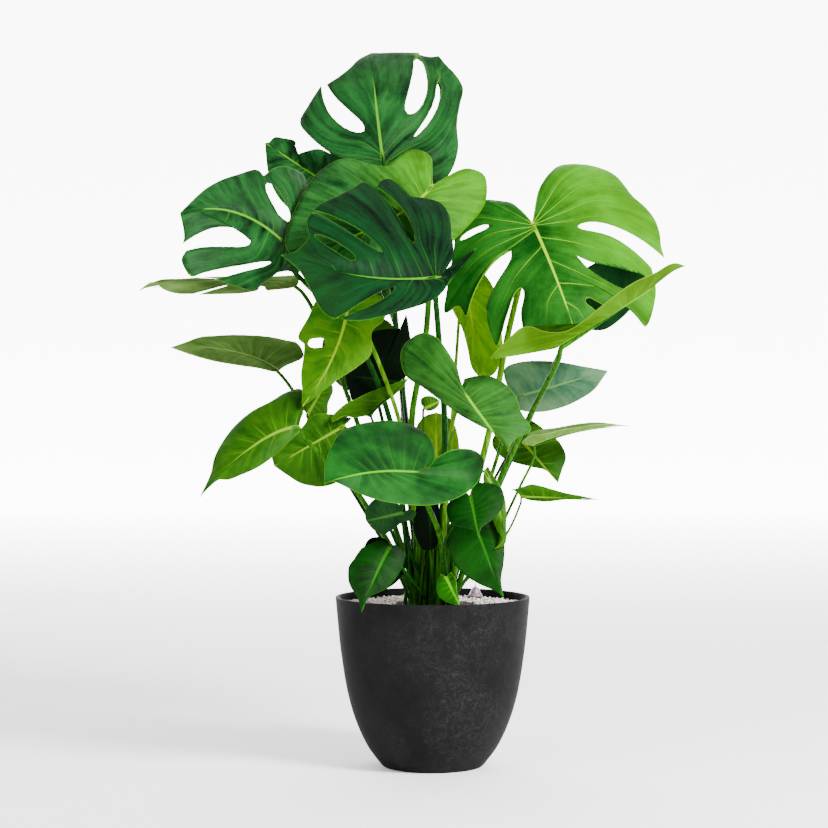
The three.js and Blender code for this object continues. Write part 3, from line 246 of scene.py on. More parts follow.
# Each leaf as it is drawn on the picture: across, down, and where it is given the depth behind the planter's axis.
# Both margins run from the base to the tip, and the stalk up from the soil. Via is a point of the midrib, neck the
# end of the free stalk, foot the stalk's place in the soil, and thick its radius at the foot and at the neck.
LEAVES = [
    dict(name="crown", base=(384, 168, 76), tip=(371, 53, 230), via=(377, 112), droop=(20, 20), arch=42,
         thick=(7, 4.5), stalk=[(401, 380), (396, 325), (389, 250)],
         left=[[(378, 176), (365, 172), (350, 166), (328, 151), (311, 137), (300, 122), (308, 106)],
               cut((364, 131), (324, 85), (338, 111), 17, 5), [(340, 76), (350, 68), (358, 60)]],
         right=[[(390, 178), (410, 186), (436, 185), (450, 173), (458, 150), (457, 125), (460, 105), (463, 88),
                (455, 74), (447, 66)], hole((414, 137), (435, 68), (437, 101), 5), [(430, 57)],
                cut((408, 114), (416, 53), (419, 85), 16, 5), [(395, 52.5), (380, 53)]]),
    dict(name="light_split", base=(433, 185, 0), tip=(292, 258, -90), via=(385, 222), lean=(-0.15, 0.6),
         droop=(0, 15), arch=15, thick=(7, 4.5), stalk=[(410, 421), (418, 386), (428, 300)],
         left=[[(441, 182), (452, 174), (463, 169), (472, 169), (484, 175), (487, 190), (484, 205), (466, 228),
               (430, 258), (380, 275), (330, 275)]],
         right=[[(432, 172), (431, 158), (422, 151), (410, 150), (399, 157), (387, 166), (372, 165), (353, 159.5),
                (338, 160), (317, 174), (304, 192), (289, 224), (285, 243)]]),
    dict(name="dark_split", base=(440, 277, -150), tip=(281, 255, -230), via=(362, 277), lean=(-0.9, 0.7),
         droop=(0, 20), arch=20, thick=(7, 4.5), stalk=[(445, 449, -45), (443, 403, -70)],
         left=[[(456, 264), (476, 248), (466, 262), (457, 271), (441, 294), (426, 303), (401, 311), (381, 317),
               (359, 321), (345, 320)], cut((395, 287), (341, 317), (368, 303), 7, 1.5), [(335, 319), (324, 313),
               (316, 301), (307, 283), (298, 269)]],
         right=[[(445, 270), (452, 259), (453, 246), (450, 230), (448, 213), (440, 203), (424, 198), (410, 196),
                (398, 184), (390, 179), (381, 181)], cut((413, 243), (375, 188), (399, 211), 9, 4), [(365, 182),
                (353, 188), (338, 196), (321, 204)], cut((382, 252), (313, 211), (348, 227), 9, 3), [(307, 220)],
                hole((355, 260), (315, 235), (338, 248), 10), [(309, 236), (300, 248), (292, 253)]]),
    dict(name="far_left", base=(290, 249, -40), tip=(180, 213, -170), via=(238, 213), lean=(-0.4, 0.7),
         droop=(0, 15), arch=25, thick=(6.5, 4), stalk=[(391, 421), (385, 402), (345, 320)],
         left=[[(298, 262), (299, 273), (287, 271), (268, 276), (258, 284), (254, 290), (238, 287)],
               cut((271, 262), (214, 274), (244, 268), 5, 9), [(202, 271), (192, 277), (185, 269), (181.5, 259)],
               cut((251, 241), (184, 247.5), (218, 237), 17, 6), [(184, 238), (183, 227), (181, 218)]],
         right=[[(298, 238), (307, 215), (309, 195), (303, 175), (291, 168), (277, 167)],
                hole((288, 222), (267, 183), (279, 203), 14), [(258, 170), (236, 175), (219, 181), (204, 190),
                (191, 202), (183, 210)]]),
    dict(name="flat_left", base=(296, 284, 40), tip=(139, 290.5, -42), via=(215, 281, 10), bulge=0.05,
         thick=(6, 3.5), neck=(305, 296, 40), stalk=[(316, 316)],
         left=[[(299, 276, 10), (296, 286, -20)], cut((262, 286, 0), (262, 290.5, -50), None, 5, 9), [(242, 293, -65),
               (218, 294, -70)], cut((228, 285, -12), (196, 294, -75), None, 5, 8), [(178, 293.5, -75),
               (165, 290, -65), (152, 282, -50)]],
         right=[[(302, 277, 60), (299, 275, 100), (285, 276, 130)], cut((268, 281, 60), (258, 277, 140), None, 5, 9),
                [(235, 276.5, 140), (215, 277, 130)], cut((232, 280, 40), (200, 277.5, 120), None, 5, 8),
                [(180, 279, 90), (160, 280, 40)]]),
    dict(name="back_left", base=(342, 194, 120), tip=(265, 143, 150), lean=(-0.4, 0.6), thick=(6, 3.5),
         stalk=[(404, 421), (407, 383), (385, 290)],
         left=[[(340, 206), (325, 220), (300, 215), (285, 205), (274, 190), (268, 172), (266, 156)]],
         right=[[(350, 188), (352, 172), (341, 159), (329, 153), (318, 149)], hole((299, 168), (286, 160.5), None, 3),
                [(296, 142), (282, 138), (275, 137), (268, 143)]]),
    dict(name="bright_right", base=(532, 222, 0), tip=(575, 332, -125), via=(555, 275), lean=(0.1, 0),
         droop=(15, 15), arch=15, thick=(6.8, 5), stalk=[(485, 451), (489, 433), (503, 378), (508, 334), (519, 291)],
         left=[[(538, 209), (544, 191), (548, 181), (552, 171), (560, 165.6), (575, 164), (594.5, 166.4), (614, 174.5),
               (633.5, 197), (645, 207), (655, 220), (660, 235), (661, 246)],
               cut((578, 227), (658, 263), (617, 233), 11, 15), [(656, 293), (645, 327), (631, 303), (620, 296),
               (611, 301)], cut((586, 299), (601, 309), None, 7, 9), [(590, 325)]],
         right=[[(525, 217), (520, 210), (511.6, 203), (497, 200.5), (479, 199), (464.4, 197.6), (457, 206),
                (449, 216), (451, 230)], hole((489, 226), (460, 240), (475, 231), 6), [(452, 260), (447, 290),
                (445, 313), (459, 306), (466, 317)], cut((511, 251), (477, 310), (489, 280), 14, 14), [(486, 310),
                (487, 321), (490, 331), (497, 347)], cut((521.5, 288), (513, 330), (515, 310), 10, 17), [(538, 328),
                (551, 332), (564, 333)]]),
    dict(name="turned_right", base=(559, 347, -185), tip=(686, 266, -205), via=(618, 311, -190), bulge=0.04,
         thick=(5.4, 4.6), neck=(558.5, 359, -172),
         stalk=[(498, 483, -40), (518, 438, -60), (529, 418, -75), (541, 396, -100), (553, 374, -140)],
         left=[[(556, 346, -170), (538, 351, -160), (545, 338, -162), (575, 332, -168), (603, 310, -172),
               (633, 288, -180), (655, 278, -188), (674, 268, -196)]],
         right=[[(554, 348.5, -180), (520, 355, -200), (503, 357.5, -205), (490, 359, -210), (500, 347, -215),
                (512, 335.5, -220), (521, 328, -222), (531, 327, -222), (541, 331, -222), (554, 333, -222),
                (565, 332, -220), (575, 327, -218), (603, 305, -215), (633, 283, -210), (655, 273, -205),
                (674, 263, -200)]]),
    dict(name="dark_right", base=(515, 398, 80), tip=(608, 371, 150), lean=(0.5, -0.7), droop=(10, 0),
         thick=(4.5, 3), stalk=[(492, 473), (498, 454.5)],
         left=[[(508, 388), (504, 376), (505, 368), (521, 362), (554, 361.5), (583, 366.4), (600, 369.5)]],
         right=[[(512, 404), (520, 410), (535, 412), (545, 411.5), (560, 408), (575, 402), (594, 390), (603, 378)]]),
    dict(name="drooping", base=(461, 389, -165), tip=(508, 452, -215), lean=(0.4, -0.1), droop=(5, 0), arch=4,
         thick=(4.5, 3), stalk=[(449.5, 436), (455, 413)],
         left=[[(464, 379), (476, 376), (489, 376), (505, 384), (516, 398), (521, 412), (531, 430), (521, 436),
               (513, 441)]],
         right=[[(459, 379), (457, 367), (451, 357), (443, 345), (436, 337), (422, 333), (409, 340), (403, 347),
                (400.5, 356), (406, 376), (424, 388), (447, 405.6), (460, 415), (485, 428.6), (503, 437)]]),
    dict(name="front_heart", base=(425, 474, -200), tip=(324.5, 484, -290), via=(375, 472), lean=(-1, 1),
         droop=(0, 20), bulge=0, thick=(6.5, 4), stalk=[(442, 577), (441, 541), (434, 506)],
         left=[[(436, 458), (452, 450), (473, 450), (484, 461), (479, 480), (461, 496), (432, 505), (401, 504),
               (371, 498), (348, 488), (331, 481)]],
         right=[[(434, 462), (434, 447), (422, 431), (401, 422), (371, 422), (342, 431), (331, 448), (325, 464)]]),
    dict(name="low_left", base=(299.5, 426.6, -150), tip=(200, 497, -211), via=(255, 445), lean=(-0.4, 0.8),
         arch=10, thick=(6.5, 3.5), stalk=[(389, 544), (356, 491), (327, 455)],
         left=[[(300, 432), (293, 438), (274, 456), (257, 468), (241, 475), (228, 480), (218, 480)]],
         right=[[(303, 414), (303, 400), (301, 389), (287, 392), (270, 402), (251, 412), (232, 429), (219, 448),
                (214, 459), (211, 473)]]),
    dict(name="lime", base=(350, 292, -100), tip=(302, 407, -140), via=(335, 352), lean=(0.2, 0.2),
         thick=(5, 3.2), stalk=[(399, 422), (391, 396), (365, 330)],
         left=[[(365, 290), (385, 300), (384, 320), (372, 331), (371, 354), (360, 365)],
               hole((338, 367), (331, 382), (333, 378), 6), [(321, 393)]],
         right=[[(330, 290), (318, 298), (308, 318), (298, 338)], hole((326, 343), (308, 344), (317, 343), 8),
                [(303, 360), (301, 375), (302, 390)]]),
    dict(name="shade", base=(399, 382, 0), tip=(345, 375, 20), lean=(-0.3, -0.3), thick=(4, 2.6),
         left=[[(395, 386), (375, 394), (354, 402), (349, 391)]],
         right=[[(408, 375), (412, 350), (410, 335), (406, 314), (403, 327), (385, 329), (373, 332), (360, 345),
                (350, 362)]]),
    dict(name="sliver", base=(367, 416, -60), tip=(409, 378, -30), lean=(0.3, -0.3), thick=(3.5, 2.2),
         left=[[(371, 418), (376, 410), (388, 400), (400, 390)]],
         right=[[(355, 418), (342, 416), (333, 422), (331, 419), (344, 405), (357, 398.5), (370, 392), (390, 385)]]),
    dict(name="fold_left", base=(308, 414, -40), tip=(328, 380, -20), thick=(3.5, 2.2),
         left=[[(303, 410), (304.6, 404), (316, 393), (324, 382)]],
         right=[[(306, 424), (312, 425), (320, 418), (327, 414), (328, 404), (333, 391), (332, 385)]]),
    dict(name="under_left", base=(345, 425, -60), tip=(274, 466, -80), lean=(0.3, -0.3), thick=(4, 2.6),
         left=[[(352, 432), (355, 455), (340, 480), (323, 486.5), (312, 486), (300, 483), (287, 475)]],
         right=[[(352, 418), (330, 414), (314, 415), (299, 431), (287, 443), (272, 454)]]),
    dict(name="edge_left", base=(279, 371, 0), tip=(171, 347.5, -62), via=(235, 352, -10), bulge=0.05,
         thick=(5, 3), neck=(286, 381, 0), stalk=[(328, 441), (310, 416), (293, 391)],
         left=[[(277, 372, -10), (270, 371, -30), (258, 368, -60), (237, 365, -80), (214, 361, -90), (192, 355, -80)]],
         right=[[(290, 364, 20), (303, 357, 50), (297, 343, 90), (287, 340.6, 110), (270, 337, 120), (254, 335.6, 120),
                (232, 335, 110), (214, 336, 90), (201, 337, 50), (184, 343, -20)]]),
    dict(name="edge_right", base=(533, 446, 20), tip=(628, 426, 60), via=(575, 432, 40), bulge=0.03,
         thick=(3.4, 2.2), stalk=[(509, 512.5), (519, 487.5), (524, 474), (527, 466), (529.6, 453.6)],
         left=[[(530, 440, 45), (528, 434, 70), (540, 430, 88), (556, 428, 92), (575, 424.5, 90), (596, 422.5, 80)]],
         right=[[(527, 445, 10), (523, 441, 0), (530, 436, -5), (546, 434, -10), (562, 430, 0), (582, 427, 20),
                (600, 424.5, 40)]]),
    dict(name="small_right", base=(518, 436, 118), tip=(558, 483, 100), lean=(0.3, 0.1), droop=(5, 5),
         thick=(3.6, 2.4), stalk=[(495, 477), (503, 458)],
         left=[[(519, 428), (523, 419), (532, 421), (546, 431), (560, 443), (566, 457), (562, 470)]],
         right=[[(512, 430), (500, 431), (493, 438), (493, 447), (502, 457), (516, 463), (532, 467), (547, 471)]]),
    dict(name="narrow_right", base=(520, 497, -30), tip=(598, 500, -61), lean=(1.2, -1.2), thick=(2.8, 1.8),
         stalk=[(508, 532), (513.6, 518.8), (514.5, 505.4)],
         left=[[(517, 492), (514, 489), (511, 490), (523, 487), (531, 484.4), (539, 485.7), (552, 489.3), (565, 493),
               (581, 496)]],
         right=[[(525, 499), (532, 500.5), (547, 501.5), (562, 500), (577, 498.5)]]),
    dict(name="low_heart", base=(471, 498, -150), tip=(479, 539, -190), lean=(0.1, 0.1), droop=(5, 5),
         thick=(3, 2), foot=(28, -44), stalk=[(447, 585, -75), (446, 560, -110), (447, 530, -135), (456, 508, -140)],
         left=[[(473, 487), (478, 483.4), (489, 483), (498, 486), (503, 491.4), (504, 499), (503, 506), (499, 513),
               (492, 520), (481, 528.5)]],
         right=[[(469, 495), (465, 492), (459, 495), (452, 499.5), (447, 506), (447, 513), (450, 522), (459, 526.7),
                (468, 528.5), (475, 531)]]),
    dict(name="low_right", base=(468, 508, -95), tip=(504, 598.5, -145), via=(485, 550), lean=(0.1, 0.1),
         droop=(10, 10), thick=(3.4, 2.2),
         left=[[(478, 505), (492, 512), (501, 525), (504, 540), (504.6, 551), (503.5, 565), (501, 580)]],
         right=[[(461, 508), (453, 519), (447, 532), (446.5, 542), (450, 553), (455, 565), (466, 576), (479, 584),
                (497, 592)]]),
    dict(name="fold_right", base=(484, 470, -85), tip=(495, 549, -125), via=(500, 512), lean=(0.1, -0.5),
         thick=(3, 2),
         left=[[(488, 466), (494, 477), (500, 485), (505, 499), (506.3, 514.6), (506, 527), (505, 544)]],
         right=[[(483, 478), (486, 495), (491, 515), (498, 532), (504, 540)]]),
    dict(name="low_front", base=(390, 547.5, -160), tip=(361.5, 613, -205), via=(376, 575), lean=(0.1, 0.1),
         droop=(5, 5), thick=(3.2, 2.2),
         left=[[(392.5, 545), (396, 545), (400, 548), (404, 553.4), (404.4, 559.4), (402, 567.5), (397, 576),
               (392, 582.7), (384, 590), (375, 594), (367.5, 598.4)]],
         right=[[(387, 545), (384, 541.5), (378, 541), (371, 544), (362, 548), (354, 559), (349, 566), (348, 574),
                (349, 583), (353, 591), (358, 598.5)]]),
    dict(name="low_shade", base=(391, 548, -95), tip=(352, 588, -125), lean=(0.1, 0.1), thick=(3, 2),
         foot=(-36, -30),
         left=[[(400, 548), (406, 560), (403, 574), (388, 588), (370, 592)]],
         right=[[(387, 540), (378, 537), (369, 539), (362, 552), (357, 567), (355, 578)]]),
    dict(name="sprout", base=(446, 577, -110), tip=(460, 606, -150), thick=(2.6, 1.8), foot=(10, -56),
         left=[[(451, 572), (456, 580), (457, 593)]],
         right=[[(441, 574), (437, 583), (438, 595), (446, 602)]]),
    dict(name="curl_low", base=(402, 513, -90), tip=(366, 521, -95), lean=(0.2, 0.2), thick=(3, 2),
         stalk=[(406, 541), (403, 527)],
         left=[[(409, 509), (416, 512), (412, 520), (403, 522), (393, 529), (384, 534), (374, 530)]],
         right=[[(404, 507), (396, 503), (386, 498), (375, 499), (368, 506), (365, 514)]]),
    dict(name="dark_low", base=(429, 501, -74), tip=(431, 550, -66), lean=(0.05, 0.05), thick=(3, 2),
         left=[[(436, 500), (440, 515), (439.5, 532), (437, 545)]],
         right=[[(420, 502), (414, 515), (415, 535), (424, 550)]]),
    dict(name="olive_centre", base=(437, 496, 70), tip=(436, 412.5, 50), lean=(0.2, 0.2), thick=(3.4, 2.4),
         left=[[(428, 494), (419, 482), (414.5, 462), (414.5, 440), (418, 424), (426, 415.5)]],
         right=[[(446, 494), (455, 482), (459, 462), (458.5, 440), (454, 424), (446, 415.5)]]),
    dict(name="tiny", base=(424, 409, -40), tip=(440, 401, -36), lean=(0.2, 0.2), thick=(3, 2),
         stalk=[(422, 425)],
         left=[[(421, 404), (421, 399), (427, 396), (434, 397)]],
         right=[[(427, 411), (433, 410), (438, 406)]]),
    dict(name="young_lime", base=(463, 270, 60), tip=(480, 378, 40), via=(470, 310), lean=(0.2, 0.2),
         thick=(4, 2.6),
         left=[[(472, 264), (486, 276), (495, 292), (500, 320), (502, 350), (494, 374)]],
         right=[[(457, 266), (450, 285), (452, 308), (462, 328), (468, 350), (472, 368)]]),
    dict(name="behind_bright", base=(584, 322, 40), tip=(656, 276, 30), lean=(0.2, 0.2), thick=(3.2, 2.4),
         neck=(566, 340, 30), stalk=[(501, 483, 30), (521, 438, 24), (544, 396, 20), (556, 374, 20)],
         left=[[(590, 330), (604, 330), (622, 318), (640, 298)]],
         right=[[(578, 312), (574, 295), (577, 278), (588, 267), (600, 261.5), (618, 264), (640, 269)]]),
    dict(name="rear_high", base=(392, 238, 150), tip=(385, 312, 290), lean=(0.3, 0.3), arch=-10, thick=(5, 3.2),
         stalk=[(412, 520, 70), (404, 430, 104)],
         left=[[(384, 230), (368, 226), (350, 234), (340, 250), (342, 272), (352, 292), (368, 306)]],
         right=[[(400, 230), (416, 226), (434, 234), (442, 250), (440, 272), (428, 292), (406, 306)]]),
    dict(name="rear_middle", base=(365, 326, 120), tip=(352, 392, 225), lean=(0.3, 0.3), arch=-8, thick=(4.5, 3),
         left=[[(358, 318), (344, 318), (330, 328), (322, 345), (326, 365), (338, 384)]],
         right=[[(372, 318), (386, 320), (398, 335), (398, 358), (388, 378), (370, 390)]]),
    dict(name="rear_low", base=(420, 440, 125), tip=(402, 496, 210), lean=(0.3, 0.3), arch=-6, thick=(4, 2.6),
         stalk=[(424, 545, 88), (422, 490, 106)],
         left=[[(412, 432), (396, 434), (380, 446), (374, 462), (378, 478), (388, 490)]],
         right=[[(428, 432), (444, 436), (456, 450), (456, 470), (444, 484), (424, 494)]]),
]


def clamp(value, low, high):
    return max(low, min(high, value))


def seen(u, v, depth):
    """The place of a pixel of the picture, that far behind the planter's axis."""
    scale = (EYE_DISTANCE + depth) / FOCAL_PIXELS
    return Vector((EYE_SIDE + (u - PICTURE_CENTRE) * scale, depth, EYE_HEIGHT - (v - PICTURE_CENTRE) * scale))


def smooth_line(points, per_stretch):
    """Points on a smooth line through the given ones."""
    ends = [points[0] * 2 - points[1], *points, points[-1] * 2 - points[-2]]
    line = []
    for i in range(len(points) - 1):
        p0, p1, p2, p3 = ends[i:i + 4]
        d0, d1, d2 = (max((b - a).length, 1e-4) ** 0.5 for a, b in ((p0, p1), (p1, p2), (p2, p3)))
        m1 = ((p1 - p0) / d0 - (p2 - p0) / (d0 + d1) + (p2 - p1) / d1) * d1
        m2 = ((p2 - p1) / d1 - (p3 - p1) / (d1 + d2) + (p3 - p2) / d2) * d1
        for k in range(per_stretch):
            t = k / per_stretch
            line.append(p1 + m1 * t + (3 * (p2 - p1) - 2 * m1 - m2) * t * t + (2 * (p1 - p2) + m1 + m2) * t ** 3)
    return [*line, points[-1].copy()]


def spaced(points, count):
    """Evenly spaced points on a smooth line through the given ones."""
    line = smooth_line(points, MARGIN_STEPS)
    reach = [0.0]
    for a, b in zip(line, line[1:]):
        reach.append(reach[-1] + (b - a).length)
    result, i = [], 0
    for k in range(count + 1):
        wanted = reach[-1] * k / count
        while i < len(line) - 2 and reach[i + 1] < wanted:
            i += 1
        step = max(reach[i + 1] - reach[i], 1e-9)
        result.append(line[i].lerp(line[i + 1], (wanted - reach[i]) / step))
    return result


class Leaf:
    """A leaf placed in space. Points drawn without a depth get one from how the halves lean, droop and bow."""

    PLAIN = {"via": None, "lean": (0, 0), "droop": (0, 0), "arch": 0, "bulge": BULGE, "stalk": (), "foot": None,
             "neck": None}

    def __init__(self, drawn):
        self.__dict__.update({**self.PLAIN, **drawn})
        self.base, self.tip = seen(*self.base), seen(*self.tip)
        chord = Vector((self.tip.x - self.base.x, self.tip.z - self.base.z))
        self.chord, self.along = chord.length, chord.normalized()
        middle = self.base.lerp(self.tip, 0.5)
        via = self.point(self.via, 0) if self.via else middle + Vector((0, -self.arch, 0))
        self.bend = via * 2 - middle
        self.sides = {LEFT: self.read_side(self.left, LEFT), RIGHT: self.read_side(self.right, RIGHT)}
        self.span = (self.tip - self.base).normalized()
        self.up = (self.centre(RIGHT) - self.centre(LEFT)).cross(self.span).normalized()
        self.length = (self.tip - self.base).length

    def depth_at(self, x, z, side):
        x, z = x - self.base.x, z - self.base.z
        reach = (x * self.along[0] + z * self.along[1]) / self.chord
        away = abs(x * self.along[1] - z * self.along[0])
        half = 0 if side == LEFT else 1
        fall = self.lean[half] * away + self.droop[half] * (away / DROOP_REACH) ** 2 if side else 0
        inside = clamp(reach, 0, 1)
        bow = 4 * self.arch * (inside * (1 - inside) + min(reach, 0))
        return self.base.y + (self.tip.y - self.base.y) * reach + fall - bow

    def point(self, drawn, side):
        if len(drawn) == 3:
            return seen(*drawn)
        depth = self.base.y
        for turn in range(DEPTH_TURNS):
            here = seen(*drawn, depth)
            wanted = self.depth_at(here.x, here.z, side)
            depth = (depth + wanted) / 2 if turn < HALVED_TURNS else wanted
        return seen(*drawn, depth)

    def read_side(self, parts, side):
        lobes, cuts = [], []
        for part in parts:
            if isinstance(part, list):
                lobes.append([self.point(drawn, side) for drawn in part])
                continue
            inner, outer = self.point(part["inner"], side), self.point(part["outer"], side)
            middle = self.point(part["middle"], side) if part["middle"] else inner.lerp(outer, 0.5)
            cuts.append({**part, "inner": inner, "outer": outer, "middle": middle})
        lobes[-1].append(self.tip.copy())
        return lobes, cuts

    def centre(self, side):
        points = [p for lobe in self.sides[side][0] for p in lobe]
        return sum(points, Vector()) / len(points)

    def rib(self, s):
        return self.base.lerp(self.bend, s).lerp(self.bend.lerp(self.tip, s), s)


def cut_point(split, q):
    bend = split["middle"] * 2 - split["inner"].lerp(split["outer"], 0.5)
    heading = (bend - split["inner"]) * (1 - q) + (split["outer"] - bend) * q
    return split["inner"].lerp(bend, q).lerp(bend.lerp(split["outer"], q), q), heading.normalized()


def cut_half_width(split, q):
    start = math.sqrt(max(0, 1 - (1 - min(q / ROUNDED_END, 1)) ** 2))
    if split["closed"]:
        return split["half"] * start * math.sqrt(max(0, 1 - max((q - HOLE_TAPER) / (1 - HOLE_TAPER), 0) ** 2))
    opening = max(0, (q - MOUTH_START) / (1 - MOUTH_START))
    return start * (split["half"] * (1 - opening) + split["mouth"] * opening)


class Blade:
    """A blade's middle surface: columns run out from the midrib, rows along it. Side veins count from the base."""

    def __init__(self, leaf):
        self.leaf = leaf
        self.points, self.outward, self.faces, self.corners = [], [], [], []
        if any(cuts for _, cuts in leaf.sides.values()):
            inner = [CUT_START * r / INNER_ROWS for r in range(INNER_ROWS + 1)]
            self.levels = [*inner, *(CUT_START + (1 - CUT_START) * q for q in CUT_LEVELS)]
            self.rib_end = SPLIT_RIB_END
        else:
            self.levels = [r / PLAIN_ROWS for r in range(PLAIN_ROWS + 1)]
            self.rib_end = PLAIN_RIB_END
        strips = {side: self.columns(side) for side in (LEFT, RIGHT)}
        stations = sorted({round(strip["m"], 5) for side in strips.values() for strip in side})
        rib = {m: self.add(leaf.rib(m), 0) for m in stations}
        for side, columns in strips.items():
            indices = [[self.add(p, t) for p, t in zip(strip["points"][1:], self.levels[1:])] for strip in columns]
            for (a, near), (b, far) in zip(zip(columns, indices), zip(columns[1:], indices[1:])):
                if a["lobe"] != b["lobe"]:
                    continue
                between = [m for m in stations if round(a["m"], 5) <= m <= round(b["m"], 5)]
                turn = len(between) // 2
                step = b["vein"] - a["vein"]
                spread = (leaf.rib(b["m"]) - leaf.rib(a["m"])).length / step
                foot = [(rib[m], a["vein"] + step * (m - a["m"]) / (b["m"] - a["m"]), spread) for m in between]
                near = [(i, a["vein"], gap) for i, gap in zip(near, a["gaps"][1:])]
                far = [(i, b["vein"], gap) for i, gap in zip(far, b["gaps"][1:])]
                for k in range(len(between) - 1):
                    self.face(side, foot[k], (near if k < turn else far)[0], foot[k + 1])
                self.face(side, near[0], far[0], foot[turn])
                for r in range(len(near) - 1):
                    self.face(side, near[r], near[r + 1], far[r + 1])
                    self.face(side, near[r], far[r + 1], far[r])
        self.weld()

    def add(self, point, outward):
        self.points.append(point)
        self.outward.append(outward)
        return len(self.points) - 1

    def face(self, side, a, b, c):
        turned = (a, c, b) if side == LEFT else (a, b, c)
        self.faces.append(tuple(corner[0] for corner in turned))
        self.corners.append([corner[1:] for corner in turned])

    def columns(self, side):
        leaf = self.leaf
        lobes, cuts = leaf.sides[side]
        starts = [0]
        for c in cuts:
            reach = (c["inner"] - leaf.base).dot(leaf.span)
            away = math.sqrt(max(0, (c["inner"] - leaf.base).length_squared - reach ** 2))
            starts.append(max(starts[-1] + CUT_SPACING, (reach - VEIN_SLANT * away) / leaf.length))
        starts.append(self.rib_end)
        strips, veins = [], 0
        for l, lobe in enumerate(lobes):
            before = cuts[l - 1] if l else None
            after = cuts[l] if l < len(cuts) else None
            margin = [*([self.edge(before, 1)] if before else []), *lobe, *([self.edge(after, -1)] if after else [])]
            outline = sum((b - a).length for a, b in zip(margin, margin[1:]))
            spacing = leaf.length * (SPLIT_VEIN_SPACING if cuts else PLAIN_VEIN_SPACING)
            count = max(1, round(outline / spacing))
            columns = max(COLUMNS_PER_VEIN * count, round(outline / COLUMN_WIDTH))
            ends = spaced(margin, columns)
            first, last = starts[l], starts[l + 1]
            lobe_strips = []
            for i in range(columns + 1):
                part = i / columns
                m = first + (last - first) * part
                points = []
                for t in self.levels:
                    if l == len(lobes) - 1 and i == columns:
                        points.append(leaf.rib(m + (1 - m) * t))
                        continue
                    p = self.vein(m, ends[i], t)
                    if before:
                        p = p + (self.beside(before, 1, first, ends[0], t) - self.vein(first, ends[0], t)) * (1 - part)
                    if after:
                        p = p + (self.beside(after, -1, last, ends[-1], t) - self.vein(last, ends[-1], t)) * part
                    points.append(p)
                lobe_strips.append({"lobe": l, "m": m, "points": points, "vein": veins + count * part})
            for i, strip in enumerate(lobe_strips):
                a, b = lobe_strips[max(i - 1, 0)], lobe_strips[min(i + 1, columns)]
                strip["gaps"] = [(q - p).length / (b["vein"] - a["vein"]) for p, q in zip(a["points"], b["points"])]
            strips.extend(lobe_strips)
            veins += count
        return strips

    def across(self, c, q):
        way = self.leaf.up.cross(cut_point(c, q)[1]).normalized()
        return way if way.dot(self.leaf.span) > 0 else -way

    def edge(self, c, sign):
        if c["closed"]:
            return c["outer"] + (c["outer"] - c["inner"]) * HOLE_TAIL
        return c["outer"] + self.across(c, 1) * sign * c["mouth"]

    def vein(self, m, end, t):
        start = self.leaf.rib(m)
        reach = (end - start).length
        lift = start.lerp(end, 0.5) + self.leaf.up * 2 * self.leaf.bulge * reach + self.leaf.span * SWEEP * reach
        return start.lerp(lift, t).lerp(lift.lerp(end, t), t)

    def beside(self, c, sign, m, end, t):
        if t <= CUT_START:
            return self.vein(m, c["inner"], t / CUT_START)
        q = (t - CUT_START) / (1 - CUT_START)
        if c["closed"]:
            if q > HOLE_END:
                return c["outer"].lerp(end, (q - HOLE_END) / (1 - HOLE_END))
            q /= HOLE_END
        return cut_point(c, q)[0] + self.across(c, q) * sign * cut_half_width(c, q)

    def weld(self):
        """Joins points that coincide, and drops the faces that close up with them."""
        places, index, points, outward = {}, [], [], []
        for p, t in zip(self.points, self.outward):
            key = tuple(round(c / WELD_REACH) for c in p)
            if key not in places:
                places[key] = len(points)
                points.append(p)
                outward.append(t)
            index.append(places[key])
        kept = [(tuple(index[i] for i in face), corners) for face, corners in zip(self.faces, self.corners)]
        kept = [(face, corners) for face, corners in kept if len(set(face)) == 3]
        self.faces, self.corners = [face for face, _ in kept], [corners for _, corners in kept]
        self.points, self.outward = points, outward

    def margin(self):
        """The points that lie on the blade's margin."""
        uses = {}
        for face in self.faces:
            for i, j in zip(face, (*face[1:], face[0])):
                key = (min(i, j), max(i, j))
                uses[key] = uses.get(key, 0) + 1
        return {i for key, count in uses.items() if count == 1 for i in key}


# Stalks
def stalk_route(leaf):
    """A stalk's drawn line from the soil to its neck, read off at set heights."""
    shortened = min(1, leaf.thick[1] / NECK_THICKNESS)
    neck = seen(*leaf.neck) if leaf.neck else leaf.base - leaf.up * NECK * shortened
    across = (neck.x - MOUND_CENTRE[0]) * CLUMP_SPREAD, (neck.y - MOUND_CENTRE[1]) * CLUMP_SPREAD * DEPTH_SPREAD
    foot = leaf.foot or [middle + clamp(off, -reach, reach)
                         for middle, off, reach in zip(MOUND_CENTRE, across, CLUMP_RADIUS)]
    foot = Vector((*foot, MOUND_LEVEL))
    drawn = []
    for point in leaf.stalk:
        height = seen(*point[:2], (foot.y + neck.y) / 2).z
        rise = clamp((height - foot.z) / (neck.z - foot.z), 0, 1)
        depth = point[2] if len(point) == 3 else foot.y + (neck.y - foot.y) * rise ** RISE_CURVE
        drawn.append(seen(*point[:2], depth))
    fine = smooth_line([foot - Vector((0, 0, DRAWN_BURIED)), foot, *drawn, neck], DRAWN_STEPS)
    levels = []
    for z in (level for level in STALK_LEVELS if level < neck.z - NECK):
        at = next(i for i in range(1, len(fine)) if fine[i].z >= z)
        t = (z - fine[at - 1].z) / ((fine[at].z - fine[at - 1].z) or 1)
        levels.append(fine[at - 1].lerp(fine[at], t))
    levels = levels or [foot.copy()]
    thick, thin = leaf.thick
    return {"neck": neck, "levels": levels, "shifts": [[0.0, 0.0] for _ in levels],
            "radii": [thick + (thin - thick) * k / len(levels) for k in range(len(levels))]}


